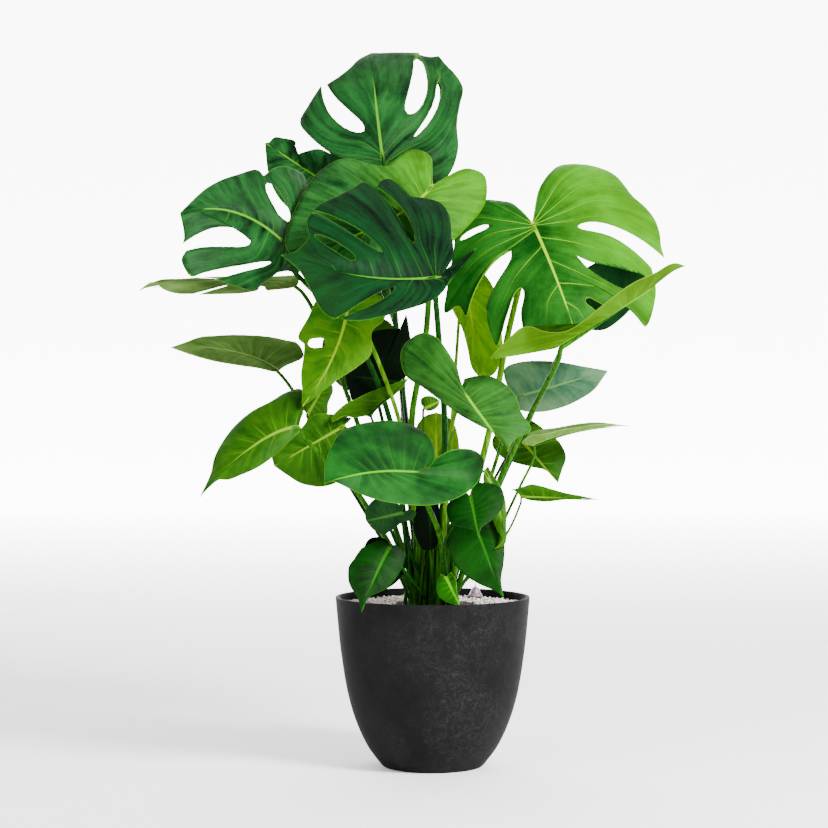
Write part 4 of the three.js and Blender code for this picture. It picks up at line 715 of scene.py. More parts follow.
def push_apart(a, b):
    """Moves two stalks apart wherever they come too close at one of the heights."""
    for p, q, shift, other, r, s in zip(a["levels"], b["levels"], a["shifts"], b["shifts"], a["radii"], b["radii"]):
        x = p.x + shift[0] - q.x - other[0]
        y = p.y + shift[1] - q.y - other[1]
        need = r + s + STALK_CLEARANCE
        if x * x + y * y < need * need:
            distance = math.hypot(x, y) or 0.01
            push = (need - distance) / distance / 2
            for n, step in enumerate((x * push, y * push or 0.1)):
                shift[n] += step
                other[n] -= step


def ease_stalks(leaves):
    """Where the stalks run: their drawn lines, eased apart."""
    routes = [stalk_route(leaf) for leaf in leaves]
    for turn in range(EASING_PASSES):
        for i, a in enumerate(routes):
            for b in routes[i + 1:]:
                push_apart(a, b)
        if turn < EASING_PASSES - SETTLING_PASSES:
            for shifts in (route["shifts"] for route in routes):
                for k, shift in enumerate(shifts):
                    below = shifts[max(k - 1, 0)]
                    above = shifts[k + 1] if k + 1 < len(shifts) else (0, 0)
                    for n in (0, 1):
                        shift[n] += ((below[n] + above[n]) / 2 - shift[n]) * EASING
    return [{"neck": route["neck"],
             "levels": [Vector((p.x + dx, p.y + dy, p.z)) for p, (dx, dy) in zip(route["levels"], route["shifts"])]}
            for route in routes]


def stalk_line(leaf, route):
    """The stalk's middle line and its radii, from its foot in the soil to the end of the midrib's ridge."""
    thick, thin = leaf.thick
    foot = route["levels"][0]
    path = [Vector((foot.x, foot.y, MOUND_LEVEL - HOLE_DEPTH + GAP)), foot + Vector((0, 0, thick + FOOT_RISE)),
            *route["levels"][1:], route["neck"]]
    radii = [thick if k < 2 else thick + (thin - thick) * (k - 1) / (len(path) - 2) for k in range(len(path))]
    for s in RIDGE_STOPS:
        radii.append(thin * RIDGE_PART * (1 - s) ** RIDGE_TAPER + RIDGE_END)
        path.append(leaf.rib(s * RIDGE_REACH.get(leaf.name, 1)) - leaf.up * (radii[-1] - BLADE_THICKNESS / 4))
    line, widths = smooth_line(path, STALK_STEPS), []
    for k in range(len(line)):
        i, t = divmod(k, STALK_STEPS)
        widths.append(radii[i] + (radii[min(i + 1, len(radii) - 1)] - radii[i]) * t / STALK_STEPS)
    return line, widths


# Working on pieces
def deselect():
    if bpy.context.object and bpy.context.object.mode != "OBJECT":
        bpy.ops.object.mode_set(mode="OBJECT")
    bpy.ops.object.select_all(action="DESELECT")


def take(piece):
    """Makes a piece the only one that the next operators act on."""
    deselect()
    piece.select_set(True)
    bpy.context.view_layer.objects.active = piece


def edit(piece):
    """Opens a piece in edit mode, all of it selected."""
    take(piece)
    bpy.ops.object.mode_set(mode="EDIT")
    bpy.ops.mesh.select_all(action="SELECT")


def close_edit():
    bpy.ops.object.mode_set(mode="OBJECT")


def settle():
    """Puts the place, turn and size of the new piece into its mesh."""
    bpy.ops.object.transform_apply(location=True, rotation=True, scale=True)


def modify(piece, kind, **settings):
    """Gives a piece a modifier with these settings, and applies it."""
    take(piece)
    modifier = piece.modifiers.new(kind.lower(), kind)
    for key, value in settings.items():
        setattr(modifier, key, value)
    bpy.ops.object.modifier_apply(modifier=modifier.name)


def paint_over(piece, *finishes):
    piece.data.materials.clear()
    for finish in finishes:
        piece.data.materials.append(finish)


def place_in_part(piece, slot, *nodes):
    """Puts a piece on the part's only body and hides the nodes that it stands for. Its slot is not used."""
    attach(piece, "root")
    for node in nodes:
        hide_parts(node)


def nearest_tree(points):
    tree = KDTree(len(points))
    for i, point in enumerate(points):
        tree.insert(point, i)
    tree.balance()
    return tree


def beside_rib(rib, tree, point):
    """How far a point lies from the midrib, and how far along it."""
    near = tree.find(point)[1]
    best = (1e9, 0)
    for i in (near - 1, near):
        if 0 <= i < len(rib) - 1:
            part = clamp(intersect_point_line(point, rib[i], rib[i + 1])[1], 0, 1)
            foot = rib[i].lerp(rib[i + 1], part)
            best = min(best, ((point - foot).length, (i + part) / (len(rib) - 1)))
    return best


def smooth_panels(piece, held):
    """Evens out the blade between its midrib and its margin."""
    mesh = piece.data
    take(piece)
    mesh.vertices.foreach_set("select", [i not in held for i in range(len(mesh.vertices))])
    mesh.edges.foreach_set("select", [False] * len(mesh.edges))
    mesh.polygons.foreach_set("select", [False] * len(mesh.polygons))
    bpy.ops.object.mode_set(mode="EDIT")
    bpy.ops.mesh.select_mode(type="VERT")
    bpy.ops.mesh.vertices_smooth(factor=0.5, repeat=SMOOTHING_PASSES)
    close_edit()


def sunlit_part(leaf, place):
    """How far a place lies on the sunlit side of its leaf, from 0 to 1."""
    shaded, sunny = SUNLIT.get(leaf.name, (0, 0))
    if shaded == sunny:
        return 0.5
    scale = FOCAL_PIXELS / (EYE_DISTANCE + place.y)
    lit = PICTURE_CENTRE * (1 - SUN_SLANT) + ((place.x - EYE_SIDE) + (place.z - EYE_HEIGHT) * SUN_SLANT) * scale
    return clamp((lit - shaded) / (sunny - shaded), 0, 1)


def blade_piece(leaf, finishes):
    """The blade: a smoothed surface, lifted between its veins, that gets its thickness and an underside."""
    blade = Blade(leaf)
    name = f"leaf_{leaf.name}_grown"
    mesh = bpy.data.meshes.new(name)
    mesh.from_pydata([p * MM for p in blade.points], [], blade.faces)
    piece = add(name, mesh)
    paint_over(piece, *finishes)
    margin = blade.margin()
    smooth_panels(piece, margin | {i for i, t in enumerate(blade.outward) if t == 0})
    margin_tree = nearest_tree([mesh.vertices[i].co / MM for i in sorted(margin)])
    rib = [leaf.rib(k / RIB_STEPS) for k in range(RIB_STEPS + 1)]
    rib_tree = nearest_tree(rib)
    veins = [0.0] * len(blade.points)
    for face, corners in zip(blade.faces, blade.corners):
        for i, (vein, _) in zip(face, corners):
            veins[i] = vein
    height = RIPPLE * min(1, leaf.length / RIPPLE_LENGTH)
    normals = [v.normal.copy() for v in mesh.vertices]
    marks = {"outward": blade.outward, "rim": [], "rib": [], "along": [], "sun": []}
    for i, vertex in enumerate(mesh.vertices):
        place = vertex.co / MM
        rim = 0.0 if i in margin else margin_tree.find(place)[2]
        off, along = beside_rib(rib, rib_tree, place)
        swell = (0.5 + 0.5 * math.cos(2 * math.pi * veins[i])) * min(1, off / RIB_FALL) * min(1, rim / MARGIN_FALL)
        vertex.co = (place + normals[i] * height * swell) * MM
        for key, value in (("rim", rim), ("rib", off), ("along", along), ("sun", sunlit_part(leaf, place))):
            marks[key].append(value)
    for key, values in marks.items():
        mesh.attributes.new(key, "FLOAT", "POINT").data.foreach_set("value", values)
    for key, place in (("vein", 0), ("gap", 1)):
        values = [corner[place] for corners in blade.corners for corner in corners]
        mesh.attributes.new(key, "FLOAT", "CORNER").data.foreach_set("value", values)
    take(piece)
    bpy.ops.object.shade_smooth()
    modify(piece, "SOLIDIFY", thickness=BLADE_THICKNESS * MM, offset=0, material_offset=1)
    if leaf.name in SLITS:
        open_slit(piece, SLITS[leaf.name])
    return piece


def open_slit(piece, outline):
    """Cuts a slit through a blade, as it is drawn on the picture."""
    ring = smooth_line([Vector((u, v, 0)) for u, v in (*outline, outline[0])], SLIT_STEPS)[:-1]
    count = len(ring)
    points = [seen(p.x, p.y, depth) * MM for depth in SLIT_DEPTHS for p in ring]
    faces = [tuple(reversed(range(count))), tuple(range(count, 2 * count)),
             *((i, (i + 1) % count, count + (i + 1) % count, count + i) for i in range(count))]
    mesh = bpy.data.meshes.new("slit")
    mesh.from_pydata(points, [], faces)
    cutter = add("slit", mesh)
    edit(cutter)
    bpy.ops.mesh.normals_make_consistent(inside=False)
    close_edit()
    modify(piece, "BOOLEAN", operation="DIFFERENCE", object=cutter)
    bpy.data.objects.remove(cutter)


def stalk_piece(leaf, route, finish):
    """The stalk, a round bar drawn along its line, which ends as the ridge under the midrib."""
    line, widths = stalk_line(leaf, route)
    curve = bpy.data.curves.new("stalk", "CURVE")
    curve.dimensions = "3D"
    curve.bevel_depth = MM
    curve.bevel_resolution = STALK_SIDES // 2 - 2
    curve.use_fill_caps = True
    curve.materials.append(finish)
    spline = curve.splines.new("POLY")
    spline.points.add(len(line) - 1)
    for point, place, width in zip(spline.points, line, widths):
        point.co = (*(place * MM), 1)
        point.radius = width
    piece = add("stalk", curve)
    take(piece)
    bpy.ops.object.convert(target="MESH")
    bpy.ops.object.shade_smooth()
    return piece


def make_leaf(leaf, route, finishes, slot):
    blade = blade_piece(leaf, finishes[:2])
    stalk = stalk_piece(leaf, route, finishes[2])
    take(blade)
    stalk.select_set(True)
    bpy.ops.object.join()
    place_in_part(blade, slot, f"leaf_{leaf.name}")


# Finishes
def paint(red, green, blue):
    """A colour as it is seen, 0 to 255, as the reflectance that shows so under the studio's light."""
    top = max(red, green, blue)
    deepened = [c - VIVIDNESS * (top - c) for c in (red, green, blue)]
    stops = [GREY_STOPS + (c / 255 - SHOWN_GREY) * (BRIGHT_STOPS if c > DARK_BELOW else DARK_STOPS) for c in deepened]
    return (*(min(MOST_REFLECTED, 2 ** s / STUDIO_LIGHT) for s in stops), 1)


class Finish:
    """A material in the making. Its patterns lie on the piece's own place, in metres."""

    def __init__(self, name):
        self.material = bpy.data.materials.new(name)
        self.material.use_nodes = True
        self.tree = self.material.node_tree
        self.tree.nodes.clear()
        self.place = self.put("TexCoord").outputs["Object"]

    def put(self, kind, settings=None, **inputs):
        """Adds a node, with its settings and its inputs: a value is set, a socket is linked."""
        made = self.tree.nodes.new(f"ShaderNode{kind}")
        for key, value in (settings or {}).items():
            setattr(made, key, value)
        for key, value in inputs.items():
            socket = made.inputs[int(key[1:]) if key[1:].isdigit() else key.replace("_", " ")]
            if isinstance(value, bpy.types.NodeSocket):
                self.tree.links.new(value, socket)
            else:
                socket.default_value = value
        return made

    def maths(self, operation, *values, clamp=False):
        inputs = {f"i{k}": value for k, value in enumerate(values)}
        return self.put("Math", {"operation": operation, "use_clamp": clamp}, **inputs).outputs[0]

    def times(self, value, other, clamp=False):
        return self.maths("MULTIPLY", value, other, clamp=clamp)

    def scaled(self, value, by, plus):
        return self.maths("MULTIPLY_ADD", value, by, plus)

    def fade(self, value, low, high, to_low=0.0, to_high=1.0):
        """A smooth step of a value between two ends."""
        return self.put("MapRange", {"interpolation_type": "SMOOTHSTEP"}, Value=value, From_Min=low, From_Max=high,
                        To_Min=to_low, To_Max=to_high).outputs[0]

    def blend(self, part, first, second):
        return self.put("Mix", {"data_type": "RGBA"}, i0=part, i6=first, i7=second).outputs[2]

    def noise(self, scale, detail=3, roughness=0.5, distortion=0, place=None):
        return self.put("TexNoise", None, Vector=place or self.place, Scale=scale, Detail=detail, Roughness=roughness,
                        Distortion=distortion).outputs["Fac"]

    def mark(self, key):
        """A number that each point or corner of the mesh carries."""
        return self.put("Attribute", {"attribute_name": key}).outputs["Fac"]

    def axis(self, key):
        return self.put("SeparateXYZ", None, Vector=self.place).outputs[key]

    def relief(self, height, strength, distance):
        return self.put("Bump", None, Strength=strength, Distance=distance, Height=height).outputs[0]

    def skin(self, face, roughness, **more):
        return self.put("BsdfPrincipled", None, Base_Color=face, Roughness=roughness, **more).outputs[0]

    def close(self, shader):
        self.put("OutputMaterial", None, i0=shader)
        return self.material


def leaf_finish(name, deep, light, sunny, vein, vein_part, streaks, roughness, gloss, glow, glow_part, ridge=0.4):
    """A leaf's face: panels of two tones, the light one partly a painted sheen, fine paler veins, a thin pale margin
    and a waxy surface.
    """
    f = Finish(name)
    outward, rim, rib, along, sun = (f.mark(key) for key in ("outward", "rim", "rib", "along", "sun"))
    vein_number = f.mark("vein")
    reach = f.maths("SUBTRACT", 1.0, outward)
    aside = f.maths("ABSOLUTE", f.maths("SUBTRACT", f.maths("FRACT", vein_number), 0.5))
    off_vein = f.times(aside, f.mark("gap"))
    # Veins, which thin out towards the margin and the tip
    lateral = f.fade(f.maths("DIVIDE", off_vein, f.scaled(reach, 0.6, 0.22)), 0.5, 1.5, 1.0, 0.0)
    lateral = f.times(lateral, f.fade(outward, 0.2, 0.95, 1.0, 0.0))
    rib_width = f.scaled(f.maths("SUBTRACT", 1.0, along), 1.9, 1.0)
    midrib = f.fade(f.maths("DIVIDE", rib, rib_width), 0.6, 1.3, 1.0, 0.0)
    veins = f.maths("MAXIMUM", f.times(lateral, vein_part), f.times(midrib, 0.95))
    # Tone of the panels: clouds, streaks beside the veins, and a painted shade, darker along the midrib near the base
    cloud = f.noise(14, roughness=0.55)
    mottle = f.noise(150, detail=4, roughness=0.6)
    drawn_out = f.put("CombineXYZ", None, X=f.times(vein_number, 3.0), Y=outward, Z=cloud).outputs[0]
    streak = f.noise(1.6, detail=5, roughness=0.62, place=drawn_out)
    beside = f.times(f.fade(off_vein, 1.0, 11.0, 0.14, 0.0), reach)
    # Painted shade: darker in the valley along the midrib near the base.
    painted_valley_shade = f.times(f.fade(rib, 3.0, 34.0, 0.22, 0.0), f.fade(along, 0.1, 0.5, 1.0, 0.0))
    tone = f.scaled(f.fade(cloud, 0.34, 0.7), 0.8 - streaks, f.scaled(mottle, 0.3, -0.14))
    tone = f.scaled(f.fade(streak, 0.32, 0.68), streaks, tone)
    tone = f.maths("SUBTRACT", f.maths("ADD", tone, beside), painted_valley_shade, clamp=True)
    # Colour: the panels, the sunlit and the shaded side, the veins and the margin
    # The light tone of the panels stands partly for a painted sheen.
    face = f.blend(tone, paint(*deep), paint(*light))
    bright = f.blend(tone, paint(*(SUN_SHADE * value for value in sunny)), paint(*sunny))
    face = f.blend(f.fade(sun, 0.5, 1.0, 0.0, 0.9), face, bright)
    face = f.blend(f.fade(sun, 0.0, 0.5, 0.25, 0.0), face, paint(*deep))
    face = f.blend(veins, face, paint(*vein))
    face = f.blend(f.fade(rim, 0.4, 1.4, 0.4, 0.0), face, paint(*vein))
    # Relief: a fine net of cells, and furrows at the veins
    cells = f.put("TexVoronoi", {"feature": "DISTANCE_TO_EDGE"}, Vector=f.place, Scale=210).outputs["Distance"]
    height = f.scaled(mottle, 0.3, f.times(f.fade(cells, 0.0, 0.1), 0.14))
    height = f.scaled(f.fade(off_vein, 0.3, 3.5), ridge * 0.4, height)
    height = f.scaled(f.fade(rib, 0.5, 4.0), ridge, height)
    relief = f.relief(height, strength=0.5, distance=0.0012)
    skin = f.skin(face, f.scaled(mottle, 0.16, roughness - 0.08), Normal=relief, Specular_IOR_Level=gloss)
    through = f.put("BsdfTranslucent", None, Color=f.blend(veins, paint(*glow), paint(*deep)), Normal=relief)
    return f.close(f.put("MixShader", None, i0=glow_part, i1=skin, i2=through.outputs[0]).outputs[0])


def stalk_finish(name, deep, light):
    """Smooth fleshy stalk: long faint streaks and pale flecks, and painted clump shade, nearly black, where it comes
    out of the clump.
    """
    f = Finish(name)
    stretched = f.put("Mapping", None, Vector=f.place, Scale=(1, 1, 0.08)).outputs[0]
    streak = f.noise(260, place=stretched)
    fleck = f.fade(f.noise(420, detail=2), 0.62, 0.72)
    face = f.blend(f.fade(streak, 0.3, 0.7), paint(*deep), paint(*light))
    face = f.blend(f.times(fleck, 0.15), face, paint(150, 190, 70))
    # Painted shade: low in the clump every stalk fades to one shaded tone.
    shaded = f.maths("ADD", f.axis("Z"), f.times(f.noise(12, detail=2), 0.1))
    face = f.blend(f.fade(shaded, *CLUMP_SHADE, 0.75, 0.0), face, paint(70, 126, 48))
    relief = f.relief(streak, strength=0.3, distance=0.0008)
    return f.close(f.skin(face, f.scaled(streak, 0.15, 0.32), Normal=relief, Specular_IOR_Level=0.03))


def planter_finish():
    """Matte charcoal stoneware with faint paler clouds and thin curling scratches."""
    f = Finish("planter_charcoal")
    cloud = f.noise(9, detail=5, roughness=0.6, distortion=0.4)
    drift = f.put("TexNoise", None, Vector=f.place, Scale=26, Detail=3).outputs["Color"]
    warped = f.put("VectorMath", {"operation": "MULTIPLY_ADD"}, i0=drift, i1=(0.03, 0.03, 0.03), i2=f.place).outputs[0]
    strands = f.maths("ABSOLUTE", f.maths("SUBTRACT", f.noise(60, detail=8, roughness=0.75, place=warped), 0.5))
    scratches = f.fade(strands, 0.0, 0.022, 1.0, 0.0)
    scuff = f.fade(f.noise(130, detail=6, roughness=0.75, distortion=0.6), 0.52, 0.72)
    worn = f.fade(f.scaled(f.fade(f.axis("X"), -0.1, 0.07), 0.16, cloud), 0.4, 0.76)
    amount = f.maths("ADD", f.times(scratches, 0.45), f.times(scuff, 0.55))
    amount = f.times(amount, worn, clamp=True)
    face = f.blend(f.fade(cloud, 0.3, 0.7), paint(50, 50, 51), paint(64, 64, 65))
    face = f.blend(f.times(amount, 0.7), face, paint(116, 116, 118))
    height = f.scaled(f.noise(900, detail=4, roughness=0.6), 0.5, f.times(amount, 0.4))
    relief = f.relief(height, strength=0.35, distance=0.0006)
    return f.close(f.skin(face, f.scaled(amount, 0.2, 0.66), Normal=relief, Specular_IOR_Level=0.03))


def grain_finish(name, first, second, third, spread, roughness):
    """Loose grains: each takes its tone from a number that it carries."""
    f = Finish(name)
    tone = f.mark("tone")
    face = f.blend(f.fade(tone, 0.0, spread), paint(*first), paint(*second))
    face = f.blend(f.fade(tone, spread, 1.0), face, paint(*third))
    speckle = f.noise(1300)
    face = f.blend(f.fade(speckle, 0.4, 0.75, 0.0, 0.35), face, paint(*second))
    relief = f.relief(speckle, strength=0.5, distance=0.0005)
    return f.close(f.skin(face, roughness, Normal=relief))


def soil_finish(name, deep, light):
    """Damp dark potting soil, clotted, with orange fibre here and there."""
    f = Finish(name)
    clot = f.noise(120, detail=5, roughness=0.65)
    fibre = f.fade(f.noise(420, roughness=0.6, distortion=1.5), 0.6, 0.72)
    face = f.blend(f.fade(clot, 0.35, 0.7), paint(*deep), paint(*light))
    face = f.blend(f.times(fibre, 0.6), face, paint(176, 104, 48))
    relief = f.relief(f.scaled(f.noise(500, detail=4), 0.4, clot), strength=0.9, distance=0.003)
    return f.close(f.skin(face, f.scaled(clot, 0.2, 0.75), Normal=relief))


def plastic_finish(name, low, high, roughness, clear=0.0):
    """Smooth moulded plastic, a little uneven and dusty."""
    f = Finish(name)
    wear = f.noise(180, detail=4)
    face = f.blend(f.fade(wear, 0.3, 0.75), paint(*low), paint(*high))
    relief = f.relief(wear, strength=0.15, distance=0.0004)
    return f.close(f.skin(face, f.scaled(wear, 0.18, roughness), Normal=relief, Transmission_Weight=clear))


def card_finish():
    """Pale card, lit more and more from within the further it lies behind the plant."""
    f = Finish("studio_white")
    face = f.blend(f.noise(3, detail=2), (0.9, 0.9, 0.9, 1), (0.93, 0.93, 0.93, 1))
    glow = f.fade(f.axis("Y"), GLOW_START, BACKDROP_PLACE, 0.0, BACKDROP_GLOW)
    return f.close(f.skin(face, 0.9, Emission_Color=face, Emission_Strength=glow, Specular_IOR_Level=0.1))


# Round pieces
def turned(name, profile, sides, place=(0, 0)):
    """A round piece raised ring by ring from a disc. The profile lists radius and height."""
    deselect()
    across, deep = (c * MM for c in place)
    radius, z = profile[0]
    bpy.ops.mesh.primitive_circle_add(vertices=sides, radius=radius * MM, fill_type="NGON",
                                      location=(across, deep, z * MM))
    piece = bpy.context.object
    piece.name = piece.data.name = name
    settle()
    edit(piece)
    for next_radius, next_z in profile[1:]:
        bpy.ops.mesh.extrude_region_move(TRANSFORM_OT_translate={"value": (0, 0, (next_z - z) * MM)})
        part = next_radius / radius
        bpy.ops.transform.resize(value=(part, part, 1), center_override=(across, deep, next_z * MM))
        radius, z = next_radius, next_z
    bpy.ops.mesh.select_all(action="SELECT")
    bpy.ops.mesh.normals_make_consistent(inside=False)
    close_edit()
    return piece


def round_edges(piece, width, segments):
    modify(piece, "BEVEL", width=width * MM, segments=segments, limit_method="ANGLE", angle_limit=ROUNDED_FROM)
    bpy.ops.object.shade_smooth_by_angle(angle=SMOOTH_BELOW)


def make_planter():
    outside = smooth_line([Vector((radius, 0, z)) for radius, z in PLANTER_PROFILE[1:]], PROFILE_STEPS)
    shoulder_radius, shoulder = PLANTER_PROFILE[2]
    inside = [(p.x - WALL, p.z) for p in reversed(outside) if p.z > shoulder]
    profile = [PLANTER_PROFILE[0], *((p.x, p.z) for p in outside), *inside,
               (shoulder_radius - WALL - FLOOR_ROUND, FLOOR_THICKNESS)]
    shell = turned("planter_shell", profile, PLANTER_SIDES)
    round_edges(shell, *PLANTER_EDGE)
    paint_over(shell, planter_finish())
    place_in_part(shell, "planter", "planter")


def make_gauge():
    bore = PIN_RADIUS + GAP
    top = CAP_SEAT + CAP_HEIGHT
    bell = [Vector((CAP_RADIUS * out, 0, CAP_SEAT + CAP_HEIGHT * up)) for out, up in CAP_BELL]
    shoulder = smooth_line([*bell, Vector((bore + CAP_LIP, 0, top))], BELL_STEPS)
    stem = [(CAP_STEM_RADIUS, GAUGE_FOOT), (CAP_STEM_RADIUS, CAP_SEAT), (CAP_RADIUS, CAP_SEAT)]
    cap = turned("gauge_cap_turned", [*stem, *((p.x, p.z) for p in shoulder), (bore, top), (bore, top - CAP_RECESS)],
                 CAP_SIDES, GAUGE_PLACE)
    round_edges(cap, *CAP_EDGE)
    paint_over(cap, plastic_finish("gauge_clear", (192, 170, 186), (222, 206, 216), 0.2, 0.3))
    place_in_part(cap, "gauge_cap", "gauge_cap")
    tip = ((PIN_RADIUS * part, PIN_TOP + drop) for part, drop in PIN_SHAPE)
    pin = turned("gauge_pin_turned", [(PIN_RADIUS, GAUGE_FOOT + 1), *tip], PIN_SIDES, GAUGE_PLACE)
    round_edges(pin, *PIN_EDGE)
    paint_over(pin, plastic_finish("gauge_orange", (206, 66, 30), (232, 104, 60), 0.4))
    place_in_part(pin, "gauge_pin", "gauge_pin")


# Gravel and soil
def stone_shapes(seed):
    """A few uneven stones, each modelled from a rough ball."""
    shapes = []
    for k in range(STONE_SHAPES):
        deselect()
        bpy.ops.mesh.primitive_ico_sphere_add(subdivisions=1, radius=1)
        stone = bpy.context.object
        edit(stone)
        bpy.ops.transform.vertex_random(offset=STONE_UNEVEN, seed=seed + k)
        bpy.ops.transform.resize(value=STONE_STRETCH)
        close_edit()
        shapes.append(([v.co.copy() for v in stone.data.vertices], [tuple(f.vertices) for f in stone.data.polygons]))
        bpy.data.objects.remove(stone)
    return shapes


def scatter(name, places, sizes, seed, finish, slot):
    """One mesh of many stones, each turned its own way, with its own tone."""
    draw = random.Random(seed)
    shapes = stone_shapes(seed)
    points, faces, tones = [], [], []
    for place in places:
        shape, shape_faces = draw.choice(shapes)
        size = draw.uniform(*sizes)
        turn = Matrix.Rotation(draw.uniform(0, STONE_TURN), 3, "Z")
        turn = turn @ Matrix.Rotation(draw.uniform(-STONE_TILT, STONE_TILT), 3, "X")
        start, tone = len(points), draw.random()
        points.extend((place + turn @ p * size) * MM for p in shape)
        faces.extend(tuple(start + i for i in face) for face in shape_faces)
        tones.extend([tone] * len(shape))
    mesh = bpy.data.meshes.new(name)
    mesh.from_pydata(points, [], faces)
    mesh.materials.append(finish)
    mesh.polygons.foreach_set("use_smooth", [True] * len(faces))
    mesh.attributes.new("tone", "FLOAT", "POINT").data.foreach_set("value", tones)
    place_in_part(add(name, mesh), slot)


def gravel_places():
    """Places for grains on the ring between the mound and the planter's wall, clear of the gauge."""
    draw = random.Random(GRAVEL_SEED)
    centre = Vector((*MOUND_CENTRE, 0))
    gauge = Vector((*GAUGE_PLACE, 0))
    (r0, z0), (r1, z1) = PLANTER_PROFILE[-2:]
    outer = r0 + (r1 - r0) * (GRAVEL_LEVEL - z0) / (z1 - z0) - WALL - GAP - GRAIN_CLEARANCE
    places = []
    while len(places) < GRAIN_COUNT:
        place = Vector((draw.uniform(-outer, outer), draw.uniform(-outer, outer), 0))
        if place.length > outer or (place - gauge).length < CAP_RADIUS - CAP_OVERLAP:
            continue
        if (place - centre).length < MOUND_RADIUS - RING_OVERLAP + RING_RAGGED * draw.random():
            continue
        place.z = GRAVEL_BED + draw.uniform(*GRAIN_LIFT)
        places.append(place)
    return places


def crumb_places(feet):
    """Places for crumbs on the mound, clear of the stalks' feet."""
    draw = random.Random(CRUMB_SEED)
    places = []
    while len(places) < CRUMB_COUNT:
        turn, reach = draw.uniform(0, 2 * math.pi), (MOUND_RADIUS + MOUND_OVERLAP) * math.sqrt(draw.random())
        place = Vector((MOUND_CENTRE[0] + reach * math.cos(turn), MOUND_CENTRE[1] + reach * math.sin(turn), 0))
        if any((place.xy - foot.xy).length < CRUMB_CLEARANCE for foot in feet):
            continue
        drop = max(0, reach - (MOUND_RADIUS - MOUND_SHOULDER)) * MOUND_FALL
        place.z = MOUND_LEVEL + draw.uniform(*CRUMB_LIFT) - drop
        places.append(place)
    return places


def make_gravel():
    """A bed painted dark, as shade in the gaps, under loose stones, in place of the plain ring."""
    stones = grain_finish("gravel_white", (200, 190, 182), (252, 250, 247), (176, 146, 134), 0.8, 0.8)
    bed = add("gravel_bed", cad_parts["gravel"].data.copy())
    edit(bed)
    bpy.ops.mesh.remove_doubles(threshold=0.00001)
    close_edit()
    for vertex in bed.data.vertices:
        vertex.co.z = min(vertex.co.z, GRAVEL_BED * MM)
    # Painted shade: the bed takes a dark soil colour that shows as shade in the gaps between the stones.
    paint_over(bed, soil_finish("gravel_gap_shade", (22, 16, 14), (58, 48, 42)))
    place_in_part(bed, "gravel", "gravel")
    scatter("gravel_stones", gravel_places(), GRAIN_SIZE, GRAVEL_SEED, stones, "gravel")


def make_soil(feet):
    paint_over(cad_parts["soil"], soil_finish("soil_crumbly", (34, 20, 12), (84, 52, 30)))
    crumbs = grain_finish("soil_crumbs_brown", (46, 28, 18), (92, 58, 36), (186, 108, 52), 0.86, 0.85)
    scatter("soil_crumbs", crumb_places(feet), CRUMB_SIZE, CRUMB_SEED, crumbs, "soil")


